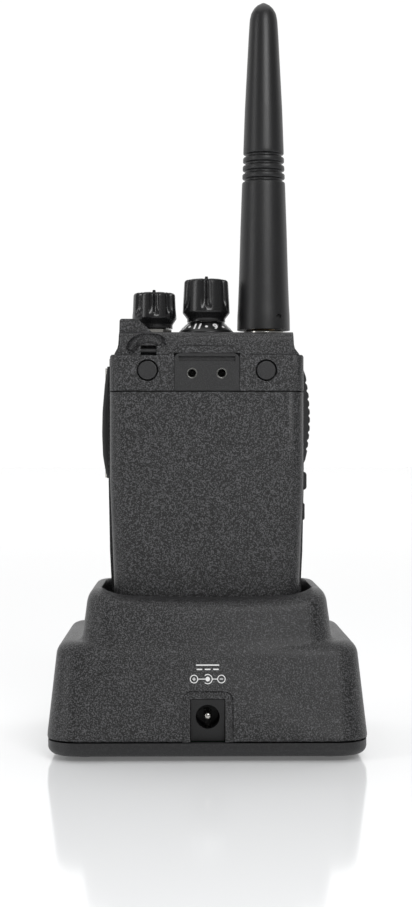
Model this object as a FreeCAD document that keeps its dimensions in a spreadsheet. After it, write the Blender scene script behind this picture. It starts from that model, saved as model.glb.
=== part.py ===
import FreeCAD, Part
import math
import os
import Sketcher

# Handheld two-way radio standing in its desktop charging cradle.
# Millimetres, +Z up, origin in the middle of the cradle's footprint on the table.
# The radio's front faces -Y and its battery faces +Y.

SIZES = {
    # cradle
    "cradle_width": 86.6, "cradle_depth": 78.0, "seam_level": 5.0, "foot_proud": 1.2,
    "shoulder_level": 31.0, "shoulder_width": 81.2, "shoulder_depth": 64.4,
    "collar_level": 44.8, "collar_width": 65.0, "collar_foot_width": 75.0,
    "collar_rear": 30.5, "collar_rear_foot": 38.9, "collar_front": 20.0, "collar_front_foot": 33.0,
    "cradle_wall": 2.2, "corner_round": 9.0, "collar_round": 7.0, "edge_round": 5.0, "seam_gap": 0.15,
    "base_inset": 0.4, "base_plate": 2.0, "base_edge_round": 2.2,
    "pocket_floor": 8.2, "pocket_gap": 3.2, "pocket_draft": 1.6, "pocket_wall": 1.8, "pocket_round": 5.0,
    "scoop_radius": 130.0, "scoop_depth": 3.2,
    "foot_radius": 5.5, "foot_sunk": 0.6, "foot_place_x": 33.0, "foot_place_y": 25.0,
    "cradle_screw_x": 35.5, "cradle_screw_y": 17.0, "screw_head_radius": 2.7,
    "screw_shank_radius": 1.25, "screw_boss_radius": 3.2, "screw_length": 12.0,
    "circuit_width": 58.0, "circuit_depth": 60.0, "circuit_board": 1.6, "standoff": 0.4,
    # power inlet
    "jack_width": 9.0, "jack_height": 11.0, "jack_length": 12.2, "jack_bore": 6.4,
    "jack_bore_depth": 9.5, "jack_pin": 2.1, "jack_pin_length": 8.6, "jack_axis_rise": 6.4,
    "jack_face": 35.8, "jack_frame_margin": 2.3, "jack_frame_sunk": 0.5,
    "status_lens_radius": 1.9,
    # charging pins
    "pin_spacing": 8.0, "pin_place": 13.0, "pin_radius": 0.8, "pin_collar_radius": 1.2,
    "pin_block_width": 14.0, "pin_block_depth": 6.0, "pin_travel": 1.0, "pin_spring_room": 1.7,
    "pin_proud": 0.9, "pin_wire": 0.15,
    # radio body
    "foot_level": 8.5, "front_face": -14.0, "split_plane": 1.0, "back_plate": 5.8,
    "rear_plane": 20.0, "case_foot_half": 26.0, "case_low_half": 26.95, "case_low_level": 45.0,
    "case_mid_half": 27.4, "case_mid_level": 54.0, "case_half": 27.8, "case_full_level": 74.0,
    "case_wall": 2.0, "case_top": 108.9, "case_edge_round": 2.6, "case_corner_round": 4.0,
    "joint_level": 98.9, "joint_gap": 0.3, "shoulder_half": 26.9, "shoulder_step": 108.5,
    "roof_level": 115.4, "roof_thick": 2.0, "roof_half_left": 23.9, "roof_half_right": 24.3,
    "cover_foot_half": 25.6, "cover_front": -13.4, "cover_rear": 19.6, "seam_low": 109.0,
    "seam_high": 111.4, "seam_high_half": 7.2, "seam_low_half": 10.6, "part_line": 0.12,
    "post_level": 119.1, "post_outer": 24.2, "post_inner": 19.3, "post_foot": 15.2,
    "post_front": 10.9, "post_rear": 17.4, "gasket_thick": 0.5,
    # battery
    "battery_foot": 9.0, "battery_foot_half": 25.2, "battery_low_half": 25.8,
    "battery_low_level": 47.0, "battery_half": 26.9, "battery_full_level": 74.0,
    "battery_wall": 1.8, "battery_round": 4.2, "battery_plate": 2.0, "slide_gap": 0.3,
    "cell_width": 21.0, "cell_depth": 8.4, "cell_height": 62.0, "cell_gap": 1.0, "cell_foot": 15.0,
    "rail_place": 19.5, "rail_neck": 2.0, "rail_head": 3.2, "rail_height": 1.4,
    "rail_foot": 22.0, "rail_top": 88.0, "contact_pitch": 8.0, "contact_level": 92.0,
    "contact_size": 3.4,
    # belt-clip place
    "plate_half": 9.0, "plate_top": 109.4, "plate_thick": 1.5, "plate_round": 1.7,
    "insert_spacing": 8.2, "insert_level": 103.9, "insert_radius": 1.5, "insert_bore": 2.05,
    "insert_length": 7.0, "insert_chamfer": 0.25, "groove_half": 7.85, "groove_level": 107.9,
    "groove_height": 1.4,
    "cap_place": 16.4, "cap_level": 104.7, "cap_radius": 2.6, "cap_ring": 0.42, "cap_deep": 2.4,
    "lanyard_place": 16.1, "lanyard_width": 4.4, "lanyard_level": 110.2, "lanyard_height": 2.8,
    "lanyard_depth": 5.5, "lanyard_pin_radius": 0.7,
    # controls on the roof
    "control_row": 4.0, "volume_place": 14.8, "antenna_place": -16.4, "bushing_wall": 0.5,
    "bushing_level": 118.2, "control_body": 11.0, "control_body_height": 5.0,
    "shaft_radius": 3.0, "shaft_fit": 0.05, "nut_wall": 0.8, "nut_height": 1.6,
    "dial_foot_radius": 8.2, "dial_top_radius": 5.2, "dial_level": 119.0, "dial_lift": 0.3,
    "channel_knob_top": 131.3, "channel_knob_radius": 6.35, "channel_knob_skirt": 6.75,
    "channel_knob_neck": 5.45, "channel_skirt_level": 121.6, "channel_neck_level": 119.2,
    "volume_knob_top": 127.5, "volume_knob_radius": 6.0, "volume_knob_skirt": 6.35,
    "volume_knob_neck": 5.2, "volume_skirt_level": 119.9, "volume_neck_level": 117.3,
    "knob_flute_radius": 1.3, "knob_round": 0.8,
    "antenna_foot": 116.9, "antenna_tip": 210.5, "antenna_foot_radius": 7.55,
    "antenna_mid_level": 185.0, "antenna_mid_radius": 5.45, "antenna_top_level": 206.0,
    "antenna_top_radius": 3.8, "ring_groove_level": 159.2, "ring_groove_pitch": 2.35,
    "ring_groove_width": 0.8, "ring_groove_depth": 0.7, "socket_radius": 3.1,
    "socket_level": 121.6, "ferrule_radius": 5.0, "antenna_core_radius": 2.4,
    # side keys and jack cover
    "ptt_foot": 78.4, "ptt_top": 106.8, "ptt_proud": 2.4, "ptt_travel": 1.2,
    "key_front": -10.4, "key_rear": -0.9,
    "key_gap": 0.3, "key_inner": 24.9, "ptt_rib_pitch": 2.9, "ptt_rib_depth": 0.45,
    "upper_key_foot": 71.2, "upper_key_top": 76.4, "upper_key_proud": 1.3,
    "lower_key_foot": 62.5, "lower_key_top": 67.4, "lower_key_proud": 0.75,
    "jack_cover_foot": 74.6, "jack_cover_top": 106.8, "jack_cover_thick": 1.9,
    "jack_cover_gap": 0.35, "hinge_pin_radius": 0.5, "knuckle_radius": 0.95,
    "lug_height": 2.6, "earphone_bore": 3.6, "microphone_bore": 2.6, "jacks_level": 88.0,
    "jacks_pitch": 10.0,
    # inside the radio
    "main_board_half": 23.5, "main_board_foot": 16.5, "main_board_top": 96.0,
    "main_board_plane": 2.6, "main_board_thick": 1.2, "speaker_level": 66.0,
    "speaker_radius": 18.0, "grille_pitch": 3.6, "grille_slot": 1.5, "grille_half": 13.0,
    "microphone_level": 26.0, "microphone_place": 14.0, "microphone_radius": 3.0,
    "case_screw_place": 20.5, "case_screw_level": 13.2, "small_screw_radius": 1.0,
    # battery latch
    "latch_half": 7.0, "latch_button_half": 5.0, "latch_tongue_half": 4.0,
    "latch_travel": 1.0, "latch_channel_top": 30.0,
}

doc = FreeCAD.newDocument("two_way_radio")
sheet = doc.addObject("Spreadsheet::Sheet", "Dims")
for row, (alias, number) in enumerate(SIZES.items(), start=1):
    sheet.set("A%d" % row, alias.replace("_", " "))
    sheet.set("B%d" % row, str(number))
    sheet.setAlias("B%d" % row, alias)
doc.recompute()


class Length:
    """A size that knows its number and the spreadsheet formula that gives it."""

    def __init__(self, number, formula):
        self.number = float(number)
        self.formula = formula

    def __add__(self, other):
        other = as_length(other)
        return Length(self.number + other.number, "(%s + %s)" % (self.formula, other.formula))

    def __sub__(self, other):
        other = as_length(other)
        return Length(self.number - other.number, "(%s - %s)" % (self.formula, other.formula))

    def __mul__(self, other):
        other = as_length(other)
        return Length(self.number * other.number, "(%s * %s)" % (self.formula, other.formula))

    def __truediv__(self, other):
        other = as_length(other)
        return Length(self.number / other.number, "(%s / %s)" % (self.formula, other.formula))

    def __radd__(self, other):
        return as_length(other) + self

    def __rsub__(self, other):
        return as_length(other) - self

    def __rmul__(self, other):
        return as_length(other) * self

    def __neg__(self):
        return Length(-self.number, "(-1 * %s)" % self.formula)


def as_length(value):
    """Turn a plain number into a Length, and leave a Length as it is."""
    return value if isinstance(value, Length) else Length(value, repr(float(value)))


class Dimensions:
    """The spreadsheet's cells, read as attributes by their aliases."""

    def __getattr__(self, alias):
        return Length(getattr(sheet, alias), "Dims." + alias)


D = Dimensions()


def bind(item, prop, length):
    """Set a property to a size and bind it to the size's formula."""
    length = as_length(length)
    setattr(item, prop, length.number)
    item.setExpression(prop, length.formula)


# ---------------------------------------------------------------- sketches and features

# For each origin plane: the way a pad grows from it along its axis (+1 or -1).
GROWTH = {"XY_Plane": 1, "XZ_Plane": -1, "YZ_Plane": 1}


def new_body(label):
    body = doc.addObject("PartDesign::Body", label)
    body.Label = label
    body.AllowCompound = True
    return body


def new_sketch(body, plane, level):
    """A sketch on one of the body's origin planes, moved to a level on the plane's axis."""
    sketch = body.newObject("Sketcher::SketchObject", "Sketch")
    origin_plane = [o for o in body.Origin.OriginFeatures if o.Role == plane][0]
    sketch.AttachmentSupport = [(origin_plane, "")]
    sketch.MapMode = "FlatFace"
    offset = as_length(level) * GROWTH[plane]
    sketch.AttachmentOffset = FreeCAD.Placement(FreeCAD.Vector(0, 0, offset.number),
                                                FreeCAD.Rotation())
    sketch.setExpression("AttachmentOffset.Base.z", offset.formula)
    return sketch


def fix_point(sketch, curve, end, x, y):
    """Hold a point of the sketch at two bound distances from its origin."""
    for kind, length in (("DistanceX", as_length(x)), ("DistanceY", as_length(y))):
        index = sketch.addConstraint(
            Sketcher.Constraint(kind, -1, 1, curve, end, length.number))
        sketch.setExpression("Constraints[%d]" % index, length.formula)


def draw_polygon(sketch, points):
    """A closed outline of straight lines through bound points."""
    ends = [FreeCAD.Vector(as_length(x).number, as_length(y).number, 0) for x, y in points]
    first = sketch.GeometryCount
    count = len(points)
    for i in range(count):
        sketch.addGeometry(Part.LineSegment(ends[i], ends[(i + 1) % count]), False)
    for i in range(count):
        following = first + (i + 1) % count
        sketch.addConstraint(Sketcher.Constraint("Coincident", first + i, 2, following, 1))
        fix_point(sketch, first + i, 1, *points[i])


def draw_circle(sketch, x, y, radius):
    centre = FreeCAD.Vector(as_length(x).number, as_length(y).number, 0)
    radius = as_length(radius)
    curve = sketch.addGeometry(
        Part.Circle(centre, FreeCAD.Vector(0, 0, 1), radius.number), False)
    fix_point(sketch, curve, 3, x, y)
    index = sketch.addConstraint(Sketcher.Constraint("Radius", curve, radius.number))
    sketch.setExpression("Constraints[%d]" % index, radius.formula)


def rectangle(x0, x1, y0, y1):
    return [(x0, y0), (x1, y0), (x1, y1), (x0, y1)]


def draw_all(sketch, shapes):
    """Draw polygons (lists of points) and circles (x, y, radius)."""
    for shape in shapes:
        if isinstance(shape, tuple):
            draw_circle(sketch, *shape)
        else:
            draw_polygon(sketch, shape)


def add(body, plane, low, high, *shapes):
    """Add material between two levels of a plane's axis."""
    start = low if GROWTH[plane] > 0 else high
    sketch = new_sketch(body, plane, start)
    draw_all(sketch, shapes)
    feature = body.newObject("PartDesign::Pad", "Pad")
    feature.Profile = sketch
    bind(feature, "Length", as_length(high) - low)
    doc.recompute()
    return feature


def cut(body, plane, low, high, *shapes):
    """Take material away between two levels of a plane's axis."""
    before = body.Shape.Volume
    start = high if GROWTH[plane] > 0 else low
    sketch = new_sketch(body, plane, start)
    draw_all(sketch, shapes)
    feature = body.newObject("PartDesign::Pocket", "Pocket")
    feature.Profile = sketch
    bind(feature, "Length", as_length(high) - low)
    doc.recompute()
    if not body.Shape.Volume < before - 1e-6:
        raise RuntimeError("a cut in %s takes nothing away" % body.Label)
    return feature


def add_box(body, x, y, z):
    return add(body, "XY_Plane", z[0], z[1], rectangle(x[0], x[1], y[0], y[1]))


def cut_box(body, x, y, z):
    return cut(body, "XY_Plane", z[0], z[1], rectangle(x[0], x[1], y[0], y[1]))


def rounded_rectangle(x0, x1, y0, y1, radius):
    """A rectangle whose corners are rounded with three short sides each."""
    corners = ((x1, y1, -1, -1, 0), (x0, y1, 1, -1, 90), (x0, y0, 1, 1, 180), (x1, y0, -1, 1, 270))
    points = []
    for x, y, inward_x, inward_y, start in corners:
        for step in range(4):
            angle = math.radians(start + 30 * step)
            points.append((x + radius * (inward_x + math.cos(angle)),
                           y + radius * (inward_y + math.sin(angle))))
    return points


def loft(body, kind, radius, sections):
    """Join rounded rectangles (level, x0, x1, y0, y1) into one loft."""
    sketches = []
    for level, x0, x1, y0, y1 in sections:
        sketch = new_sketch(body, "XY_Plane", level)
        draw_polygon(sketch, rounded_rectangle(as_length(x0), as_length(x1), as_length(y0),
                                               as_length(y1), radius))
        sketches.append(sketch)
    feature = body.newObject(kind, "Loft")
    feature.Profile = sketches[0]
    feature.Sections = sketches[1:]
    feature.Ruled = True
    doc.recompute()
    if "Invalid" in feature.State:
        raise RuntimeError("a loft in %s failed" % body.Label)
    return feature


def rounded_top(section, top, radius):
    """Sections that carry a block's sides over into its top with a round edge.

    section(level, inset) gives the block's section at a level, drawn in by an inset.
    """
    sections = []
    for degrees in (0, 30, 60, 90):
        angle = math.radians(degrees)
        sections.append(section(top - radius * (1.0 - math.sin(angle)),
                                radius * (1.0 - math.cos(angle))))
    return sections


def between(low, high, share):
    """The size at a share of the way from a low value to a high one."""
    return low + (as_length(high) - low) * share


def turn(body, outline, kind="PartDesign::Revolution"):
    """Turn an outline of (radius, height) points about the body's own Z axis."""
    sketch = new_sketch(body, "XZ_Plane", 0)
    draw_polygon(sketch, outline)
    feature = body.newObject(kind, "Turned")
    feature.Profile = sketch
    feature.ReferenceAxis = (sketch, ["V_Axis"])
    feature.Angle = 360.0
    doc.recompute()
    return feature


def round_edges(body, radius, wanted, kind="PartDesign::Fillet"):
    """Fillet or chamfer the edges of the body's tip that the wanted test picks."""
    tip = body.Tip
    names = ["Edge%d" % (i + 1) for i, edge in enumerate(tip.Shape.Edges) if wanted(edge)]
    if not names:
        raise RuntimeError("no edge to round in %s" % body.Label)
    feature = body.newObject(kind, "Rounded")
    feature.Base = (tip, names)
    bind(feature, "Radius" if kind.endswith("Fillet") else "Size", radius)
    doc.recompute()
    if "Invalid" in feature.State:
        raise RuntimeError("edges of %s cannot be rounded" % body.Label)
    return feature


def runs_along(edge, axis, least=0.999):
    """True for a straight edge whose direction is within a small angle of an axis."""
    if not isinstance(edge.Curve, Part.Line):
        return False
    direction = edge.Curve.Direction
    return abs(direction.dot(FreeCAD.Vector(*axis))) > least


def lies_at(edge, axis, level, within=0.01):
    """True when the whole edge lies at one coordinate of an axis (0, 1 or 2)."""
    return all(abs(point[axis] - level) < within for point in edge.discretize(5))


def place(body, x, y, z=0.0):
    """Move a body that was drawn about its own axis to its place."""
    for name, length in (("x", as_length(x)), ("y", as_length(y)), ("z", as_length(z))):
        body.setExpression("Placement.Base." + name, length.formula)
    body.Placement = FreeCAD.Placement(
        FreeCAD.Vector(as_length(x).number, as_length(y).number, as_length(z).number),
        FreeCAD.Rotation())
    doc.recompute()


def mirrored(points):
    """Complete an outline from its +X half, listed from the bottom up."""
    return points + [(-x, y) for x, y in reversed(points)]


def spring_shape(radius, wire, length, turns):
    """A coil of round wire standing on the origin along +Z."""
    pitch = length / turns
    helix = Part.makeHelix(pitch, length, radius)
    section = Part.Wire(Part.makeCircle(wire, FreeCAD.Vector(radius, 0, 0),
                                        FreeCAD.Vector(0, 1, 0)))
    return Part.Wire(helix).makePipeShell([section], True, True)


def new_springs(label, springs):
    """One node of coil springs, each given as (centre, direction, radius, wire, length, turns)."""
    solids = []
    for centre, direction, radius, wire, length, turns in springs:
        coil = spring_shape(radius, wire, length, turns)
        rotation = FreeCAD.Rotation(FreeCAD.Vector(0, 0, 1), FreeCAD.Vector(*direction))
        coil.Placement = FreeCAD.Placement(FreeCAD.Vector(*centre), rotation)
        solids.append(coil)
    feature = doc.addObject("Part::Feature", label)
    feature.Label = label
    feature.Shape = Part.makeCompound(solids)
    feature.Placement = FreeCAD.Placement()
    return feature


NODES = []


def keep(item):
    """List a finished sub-part for the checks and the export."""
    NODES.append(item)
    return item


# ---------------------------------------------------------------- cradle

def pocket_half():
    return D.case_low_half + D.pocket_gap - D.pocket_draft * 0.5


def pocket_section(level, grow, draft):
    half = pocket_half() + grow - draft
    front = D.front_face - 1.2 - grow + draft * 0.4
    rear = D.rear_plane + 1.2 + grow - draft * 0.4
    return (level, -half, half, front, rear)


def cradle_foot_level():
    return D.seam_level + D.seam_gap


def cradle_section(level, inset=0.0):
    """The wide lower block's section at a level."""
    foot = cradle_foot_level()
    share = (as_length(level) - foot) / (D.shoulder_level - foot)
    half_x = between(D.cradle_width, D.shoulder_width, share) / 2 - inset
    half_y = between(D.cradle_depth, D.shoulder_depth, share) / 2 - inset
    return (level, -half_x, half_x, -half_y, half_y)


def collar_section(level, inset=0.0):
    """The collar's section at a level."""
    foot = cradle_foot_level()
    share = (as_length(level) - foot) / (D.collar_level - foot)
    half = between(D.collar_foot_width, D.collar_width, share) / 2 - inset
    front = between(D.collar_front_foot, D.collar_front, share) - inset
    rear = between(D.collar_rear_foot, D.collar_rear, share) - inset
    return (level, -half, half, -front, rear)


def make_cradle_shell():
    body = new_body("cradle_shell")
    foot = cradle_foot_level()
    wall = D.cradle_wall
    solid = "PartDesign::AdditiveLoft"
    hollow = "PartDesign::SubtractiveLoft"
    loft(body, solid, D.corner_round,
         [cradle_section(foot)] + rounded_top(cradle_section, D.shoulder_level, D.edge_round))
    loft(body, solid, D.collar_round,
         [collar_section(foot)] + rounded_top(collar_section, D.collar_level, D.edge_round))
    cut(body, "XZ_Plane", D.back_plate, D.cradle_depth,
        (0, D.collar_level - D.scoop_depth + D.scoop_radius, D.scoop_radius))
    loft(body, hollow, D.corner_round - wall,
         [cradle_section(foot, wall), cradle_section(D.shoulder_level - D.edge_round, wall),
          cradle_section(D.shoulder_level - wall, wall + D.edge_round * 0.4)])
    loft(body, hollow, D.collar_round - wall,
         [collar_section(foot, wall), collar_section(D.collar_level - D.scoop_depth
                                                     - D.edge_round, wall)])
    tub_foot = D.pocket_floor - D.pocket_wall
    loft(body, solid, D.pocket_round + D.pocket_wall,
         [pocket_section(tub_foot, D.pocket_wall, D.pocket_draft),
          pocket_section(D.collar_level - D.edge_round, D.pocket_wall, 0.0)])
    for x, y in corner_places(D.cradle_screw_x, D.cradle_screw_y):
        add(body, "XY_Plane", foot, D.shoulder_level - wall - 0.5, (x, y, D.screw_boss_radius))
    loft(body, hollow, D.pocket_round,
         [pocket_section(D.pocket_floor, 0.0, D.pocket_draft),
          pocket_section(D.collar_level + 1.0, 0.0, 0.0)])
    for x, y in corner_places(D.cradle_screw_x, D.cradle_screw_y):
        cut(body, "XY_Plane", foot, foot + D.screw_length, (x, y, D.screw_shank_radius))
    cut_box(body, pin_block_span(0.0), pin_block_rows(0.0), (tub_foot, D.pocket_floor))
    jack_half = D.jack_width / 2
    jack_roof = board_top() + D.jack_height
    margin = D.jack_frame_margin
    cut(body, "XZ_Plane", D.jack_face - D.jack_frame_sunk, D.cradle_depth,
        rectangle(-jack_half - margin, jack_half + margin, foot, jack_roof + margin))
    cut_box(body, (-jack_half - D.part_line, jack_half + D.part_line),
            (D.jack_face - D.jack_length - 0.5, D.cradle_depth / 2), (foot, jack_roof + D.part_line))
    cut(body, "XZ_Plane", -D.cradle_depth / 2, -D.cradle_depth / 2 + 8.0,
        (0, status_lens_level(), D.status_lens_radius + D.part_line))
    return keep(body)


def corner_places(x, y):
    """Four places, one in each corner."""
    return [(sx * x, sy * y) for sx in (-1, 1) for sy in (-1, 1)]


def bushing_radius():
    return D.shaft_radius + D.bushing_wall


def board_top():
    return D.foot_proud + D.base_plate + D.standoff + D.circuit_board


def status_lens_level():
    return D.seam_level + 11.0


def pin_block_span(gap):
    return (-D.pin_block_width / 2 - gap, D.pin_block_width / 2 + gap)


def pin_block_rows(gap):
    return (D.pin_place - D.pin_block_depth / 2 - gap, D.pin_place + D.pin_block_depth / 2 + gap)


def make_cradle_base():
    body = new_body("cradle_base")
    inset = D.base_inset
    half_x = D.cradle_width / 2 - inset
    half_y = D.cradle_depth / 2 - inset
    foot = D.foot_proud
    add_box(body, (-half_x, half_x), (-half_y, half_y), (foot, D.seam_level))
    round_edges(body, D.corner_round - inset, lambda e: runs_along(e, (0, 0, 1)))
    round_edges(body, D.base_edge_round, lambda e: lies_at(e, 2, foot.number))
    wall = D.cradle_wall
    room_x = half_x - wall
    room_y = half_y - wall
    chamfer = D.corner_round - inset - wall
    side = [(room_x, room_y - chamfer), (room_x - chamfer, room_y)]
    rear = side + [(-x, y) for x, y in reversed(side)]
    cut(body, "XY_Plane", foot + D.base_plate, D.seam_level,
        rear + [(x, -y) for x, y in reversed(rear)])
    for x, y in corner_places(D.cradle_screw_x, D.cradle_screw_y):
        add(body, "XY_Plane", foot, D.seam_level, (x, y, D.screw_head_radius + 1.5))
    for x, y in corner_places(D.circuit_width * 0.42, D.circuit_depth * 0.3):
        add(body, "XY_Plane", foot, foot + D.base_plate + D.standoff, (x, y, 2.0))
    for x, y in corner_places(D.cradle_screw_x, D.cradle_screw_y):
        cut(body, "XY_Plane", foot, foot + D.base_plate, (x, y, D.screw_head_radius + 0.3))
        cut(body, "XY_Plane", foot, D.seam_level, (x, y, D.screw_shank_radius + 0.25))
    for x, y in corner_places(D.foot_place_x, D.foot_place_y):
        cut(body, "XY_Plane", foot, foot + D.foot_sunk, (x, y, D.foot_radius))
    return keep(body)


def make_cradle_feet():
    body = new_body("cradle_feet")
    add(body, "XY_Plane", 0, D.foot_proud + D.foot_sunk,
        *[(x, y, D.foot_radius) for x, y in corner_places(D.foot_place_x, D.foot_place_y)])
    return keep(body)


def make_cradle_screws():
    body = new_body("cradle_screws")
    places = corner_places(D.cradle_screw_x, D.cradle_screw_y)
    seat = D.foot_proud + D.base_plate
    add(body, "XY_Plane", D.foot_proud + 0.3, seat,
        *[(x, y, D.screw_head_radius) for x, y in places])
    add(body, "XY_Plane", seat, D.seam_level + D.screw_length - 0.5,
        *[(x, y, D.screw_shank_radius) for x, y in places])
    slot = D.screw_head_radius * 0.55
    for arm_x, arm_y in ((slot, 0.35), (0.35, slot)):
        cut(body, "XY_Plane", D.foot_proud + 0.3, D.foot_proud + 1.1,
            *[rectangle(x - arm_x, x + arm_x, y - arm_y, y + arm_y) for x, y in places])
    return keep(body)


def make_charger_board():
    body = new_body("charger_board")
    bottom = board_top() - D.circuit_board
    add_box(body, (-D.circuit_width / 2, D.circuit_width / 2),
            (D.jack_face - 2.0 - D.circuit_depth, D.jack_face - 2.0), (bottom, board_top()))
    return keep(body)


def make_status_lens():
    body = new_body("cradle_status_lens")
    add(body, "XZ_Plane", -D.cradle_depth / 2 + 0.9, -D.cradle_depth / 2 + 6.0,
        (0, status_lens_level(), D.status_lens_radius))
    return keep(body)


def make_dc_jack():
    half = D.jack_width / 2
    floor = board_top()
    level = floor + D.jack_axis_rise
    back = D.jack_face - D.jack_length
    housing = new_body("dc_jack_housing")
    add_box(housing, (-half, half), (back, D.jack_face), (floor, floor + D.jack_height))
    cut(housing, "XZ_Plane", D.jack_face - D.jack_bore_depth, D.jack_face,
        (0, level, D.jack_bore / 2))
    slot = (-1.0, 1.0)
    cut(housing, "XZ_Plane", D.jack_face - D.jack_bore_depth, D.jack_face - 1.5,
        rectangle(slot[0], slot[1], level - D.jack_bore / 2 - 0.7, level - D.jack_bore / 2 + 0.6))
    keep(housing)
    pin = new_body("dc_jack_pin")
    add(pin, "XZ_Plane", D.jack_face - D.jack_bore_depth,
        D.jack_face - D.jack_bore_depth + D.jack_pin_length, (0, level, D.jack_pin / 2))
    tip = D.jack_face - D.jack_bore_depth + D.jack_pin_length
    round_edges(pin, D.jack_pin / 2 * 0.8, lambda e: lies_at(e, 1, tip.number))
    keep(pin)
    leaf = new_body("dc_jack_spring")
    low = level - D.jack_bore / 2
    plane_points = [(D.jack_face - D.jack_bore_depth, low - 0.6),
                    (D.jack_face - 2.0, low - 0.6), (D.jack_face - 2.0, low - 0.3),
                    (D.jack_face - 4.0, low + 0.35), (D.jack_face - 4.6, low + 0.35),
                    (D.jack_face - D.jack_bore_depth, low - 0.3)]
    add(leaf, "YZ_Plane", slot[0] + 0.2, slot[1] - 0.2, plane_points)
    keep(leaf)


def pin_tip():
    return D.pocket_floor + D.pin_proud


def pin_collar_bottom():
    return board_top() + 0.1 + D.pin_spring_room


def make_charge_pins():
    columns = (-D.pin_spacing / 2, D.pin_spacing / 2)
    collar_top = pin_collar_bottom() + 0.5
    block = new_body("charge_pin_block")
    add_box(block, pin_block_span(0.0), pin_block_rows(0.0), (board_top(), D.pocket_floor))
    cut(block, "XY_Plane", board_top(), collar_top,
        *[(x, D.pin_place, D.pin_collar_radius + 0.15) for x in columns])
    cut(block, "XY_Plane", collar_top, D.pocket_floor,
        *[(x, D.pin_place, D.pin_radius + 0.08) for x in columns])
    keep(block)
    pins = new_body("charge_pins")
    add(pins, "XY_Plane", pin_collar_bottom(), collar_top - 0.05,
        *[(x, D.pin_place, D.pin_collar_radius) for x in columns])
    add(pins, "XY_Plane", collar_top - 0.05, pin_tip(),
        *[(x, D.pin_place, D.pin_radius) for x in columns])
    round_edges(pins, D.pin_radius * 0.6, lambda e: lies_at(e, 2, pin_tip().number))
    keep(pins)
    springs = [((x.number, D.pin_place.number, board_top().number + 0.2), (0, 0, 1), 0.85,
                D.pin_wire.number, D.pin_spring_room.number - 0.3, 3) for x in columns]
    keep(new_springs("charge_pin_springs", springs))


# ---------------------------------------------------------------- radio outlines

def case_outline(inset=0.0, foot=None, top=None):
    """The radio body's outline seen from behind."""
    foot = D.foot_level if foot is None else foot
    top = D.case_top if top is None else top
    return mirrored([
        (D.case_foot_half - inset, foot), (D.case_low_half - inset, D.case_low_level),
        (D.case_mid_half - inset, D.case_mid_level), (D.case_half - inset, D.case_full_level),
        (D.case_half - inset, top)])


def battery_outline(inset=0.0):
    """The battery's outline seen from behind."""
    top = D.joint_level - D.joint_gap / 2
    return mirrored([
        (D.battery_foot_half - inset, D.battery_foot + inset),
        (D.battery_low_half - inset, D.battery_low_level),
        (D.battery_half - inset, D.battery_full_level),
        (D.battery_half - inset, top - inset)])


def seam_outline(gap):
    """The step in the line between the rear chassis and the top cover, from +X to -X."""
    return [(D.seam_low_half, D.seam_low + gap), (D.seam_high_half, D.seam_high + gap),
            (-D.seam_high_half, D.seam_high + gap), (-D.seam_low_half, D.seam_low + gap)]


def rail_outline(side, grow):
    """A dovetail guide rail's section seen from above."""
    middle = side * D.rail_place
    neck = D.rail_neck / 2 + grow
    head = D.rail_head / 2 + grow
    root = D.back_plate
    crest = D.back_plate + D.rail_height + grow
    return [(middle - neck, root), (middle + neck, root), (middle + head, crest),
            (middle - head, crest)]


def contact_columns():
    return (-D.contact_pitch, as_length(0), D.contact_pitch)


# ---------------------------------------------------------------- battery

def battery_face():
    return D.back_plate + D.slide_gap


def make_battery():
    plate_back = battery_face() + D.battery_plate
    cover = new_body("battery_cover")
    add(cover, "XZ_Plane", plate_back, D.rear_plane, battery_outline())
    round_edges(cover, D.battery_round, lambda e: lies_at(e, 1, D.rear_plane.number)
                and runs_along(e, (0, 0, 1), 0.99))
    cut(cover, "XZ_Plane", plate_back, D.rear_plane - D.battery_wall,
        battery_outline(D.battery_wall))
    cut(cover, "XY_Plane", D.battery_foot, D.battery_foot + D.battery_wall,
        *[(x, D.pin_place, 2.2) for x in (-D.pin_spacing / 2, D.pin_spacing / 2)])
    keep(cover)
    inner = new_body("battery_inner_case")
    add(inner, "XZ_Plane", battery_face(), plate_back, battery_outline())
    groove_top = D.joint_level
    for side in (-1, 1):
        cut(inner, "XY_Plane", D.rail_foot - D.slide_gap, groove_top,
            rail_outline(side, D.slide_gap))
    cut_box(inner, (-D.latch_tongue_half - 0.6, D.latch_tongue_half + 0.6),
            (battery_face(), plate_back), (D.battery_foot, D.latch_channel_top))
    size = D.contact_size / 2 + 0.2
    for x in contact_columns():
        cut_box(inner, (x - size, x + size), (battery_face(), plate_back),
                (D.contact_level - size, D.contact_level + size))
    keep(inner)
    cells = new_body("battery_cells")
    cell_front = plate_back + 0.8
    for side in (-1, 1):
        near = D.cell_gap / 2
        far = D.cell_gap / 2 + D.cell_width
        span = (near, far) if side > 0 else (-far, -near)
        add_box(cells, span, (cell_front, cell_front + D.cell_depth),
                (D.cell_foot, D.cell_foot + D.cell_height))
    round_edges(cells, D.cell_depth * 0.3, lambda e: runs_along(e, (0, 0, 1)))
    keep(cells)
    board = new_body("battery_board")
    board_plane = plate_back + 3.0
    cell_top = D.cell_foot + D.cell_height
    add_box(board, (-D.contact_pitch * 2.3, D.contact_pitch * 2.3),
            (board_plane, board_plane + 1.0), (cell_top + 2.0, D.joint_level - 3.5))
    keep(board)
    pads = new_body("battery_radio_contacts")
    half = D.contact_size / 2
    add(pads, "XZ_Plane", battery_face() + 0.1, board_plane,
        *[rectangle(x - half, x + half, D.contact_level - half, D.contact_level + half)
          for x in contact_columns()])
    keep(pads)
    discs = new_body("battery_charge_contacts")
    add(discs, "XY_Plane", pin_tip() + D.slide_gap, D.battery_foot + D.battery_wall + 0.8,
        *[(x, D.pin_place, 1.9) for x in (-D.pin_spacing / 2, D.pin_spacing / 2)])
    keep(discs)


# ---------------------------------------------------------------- radio casings

def key_rows(gap):
    return (D.key_front - gap, D.key_rear + gap)


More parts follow.
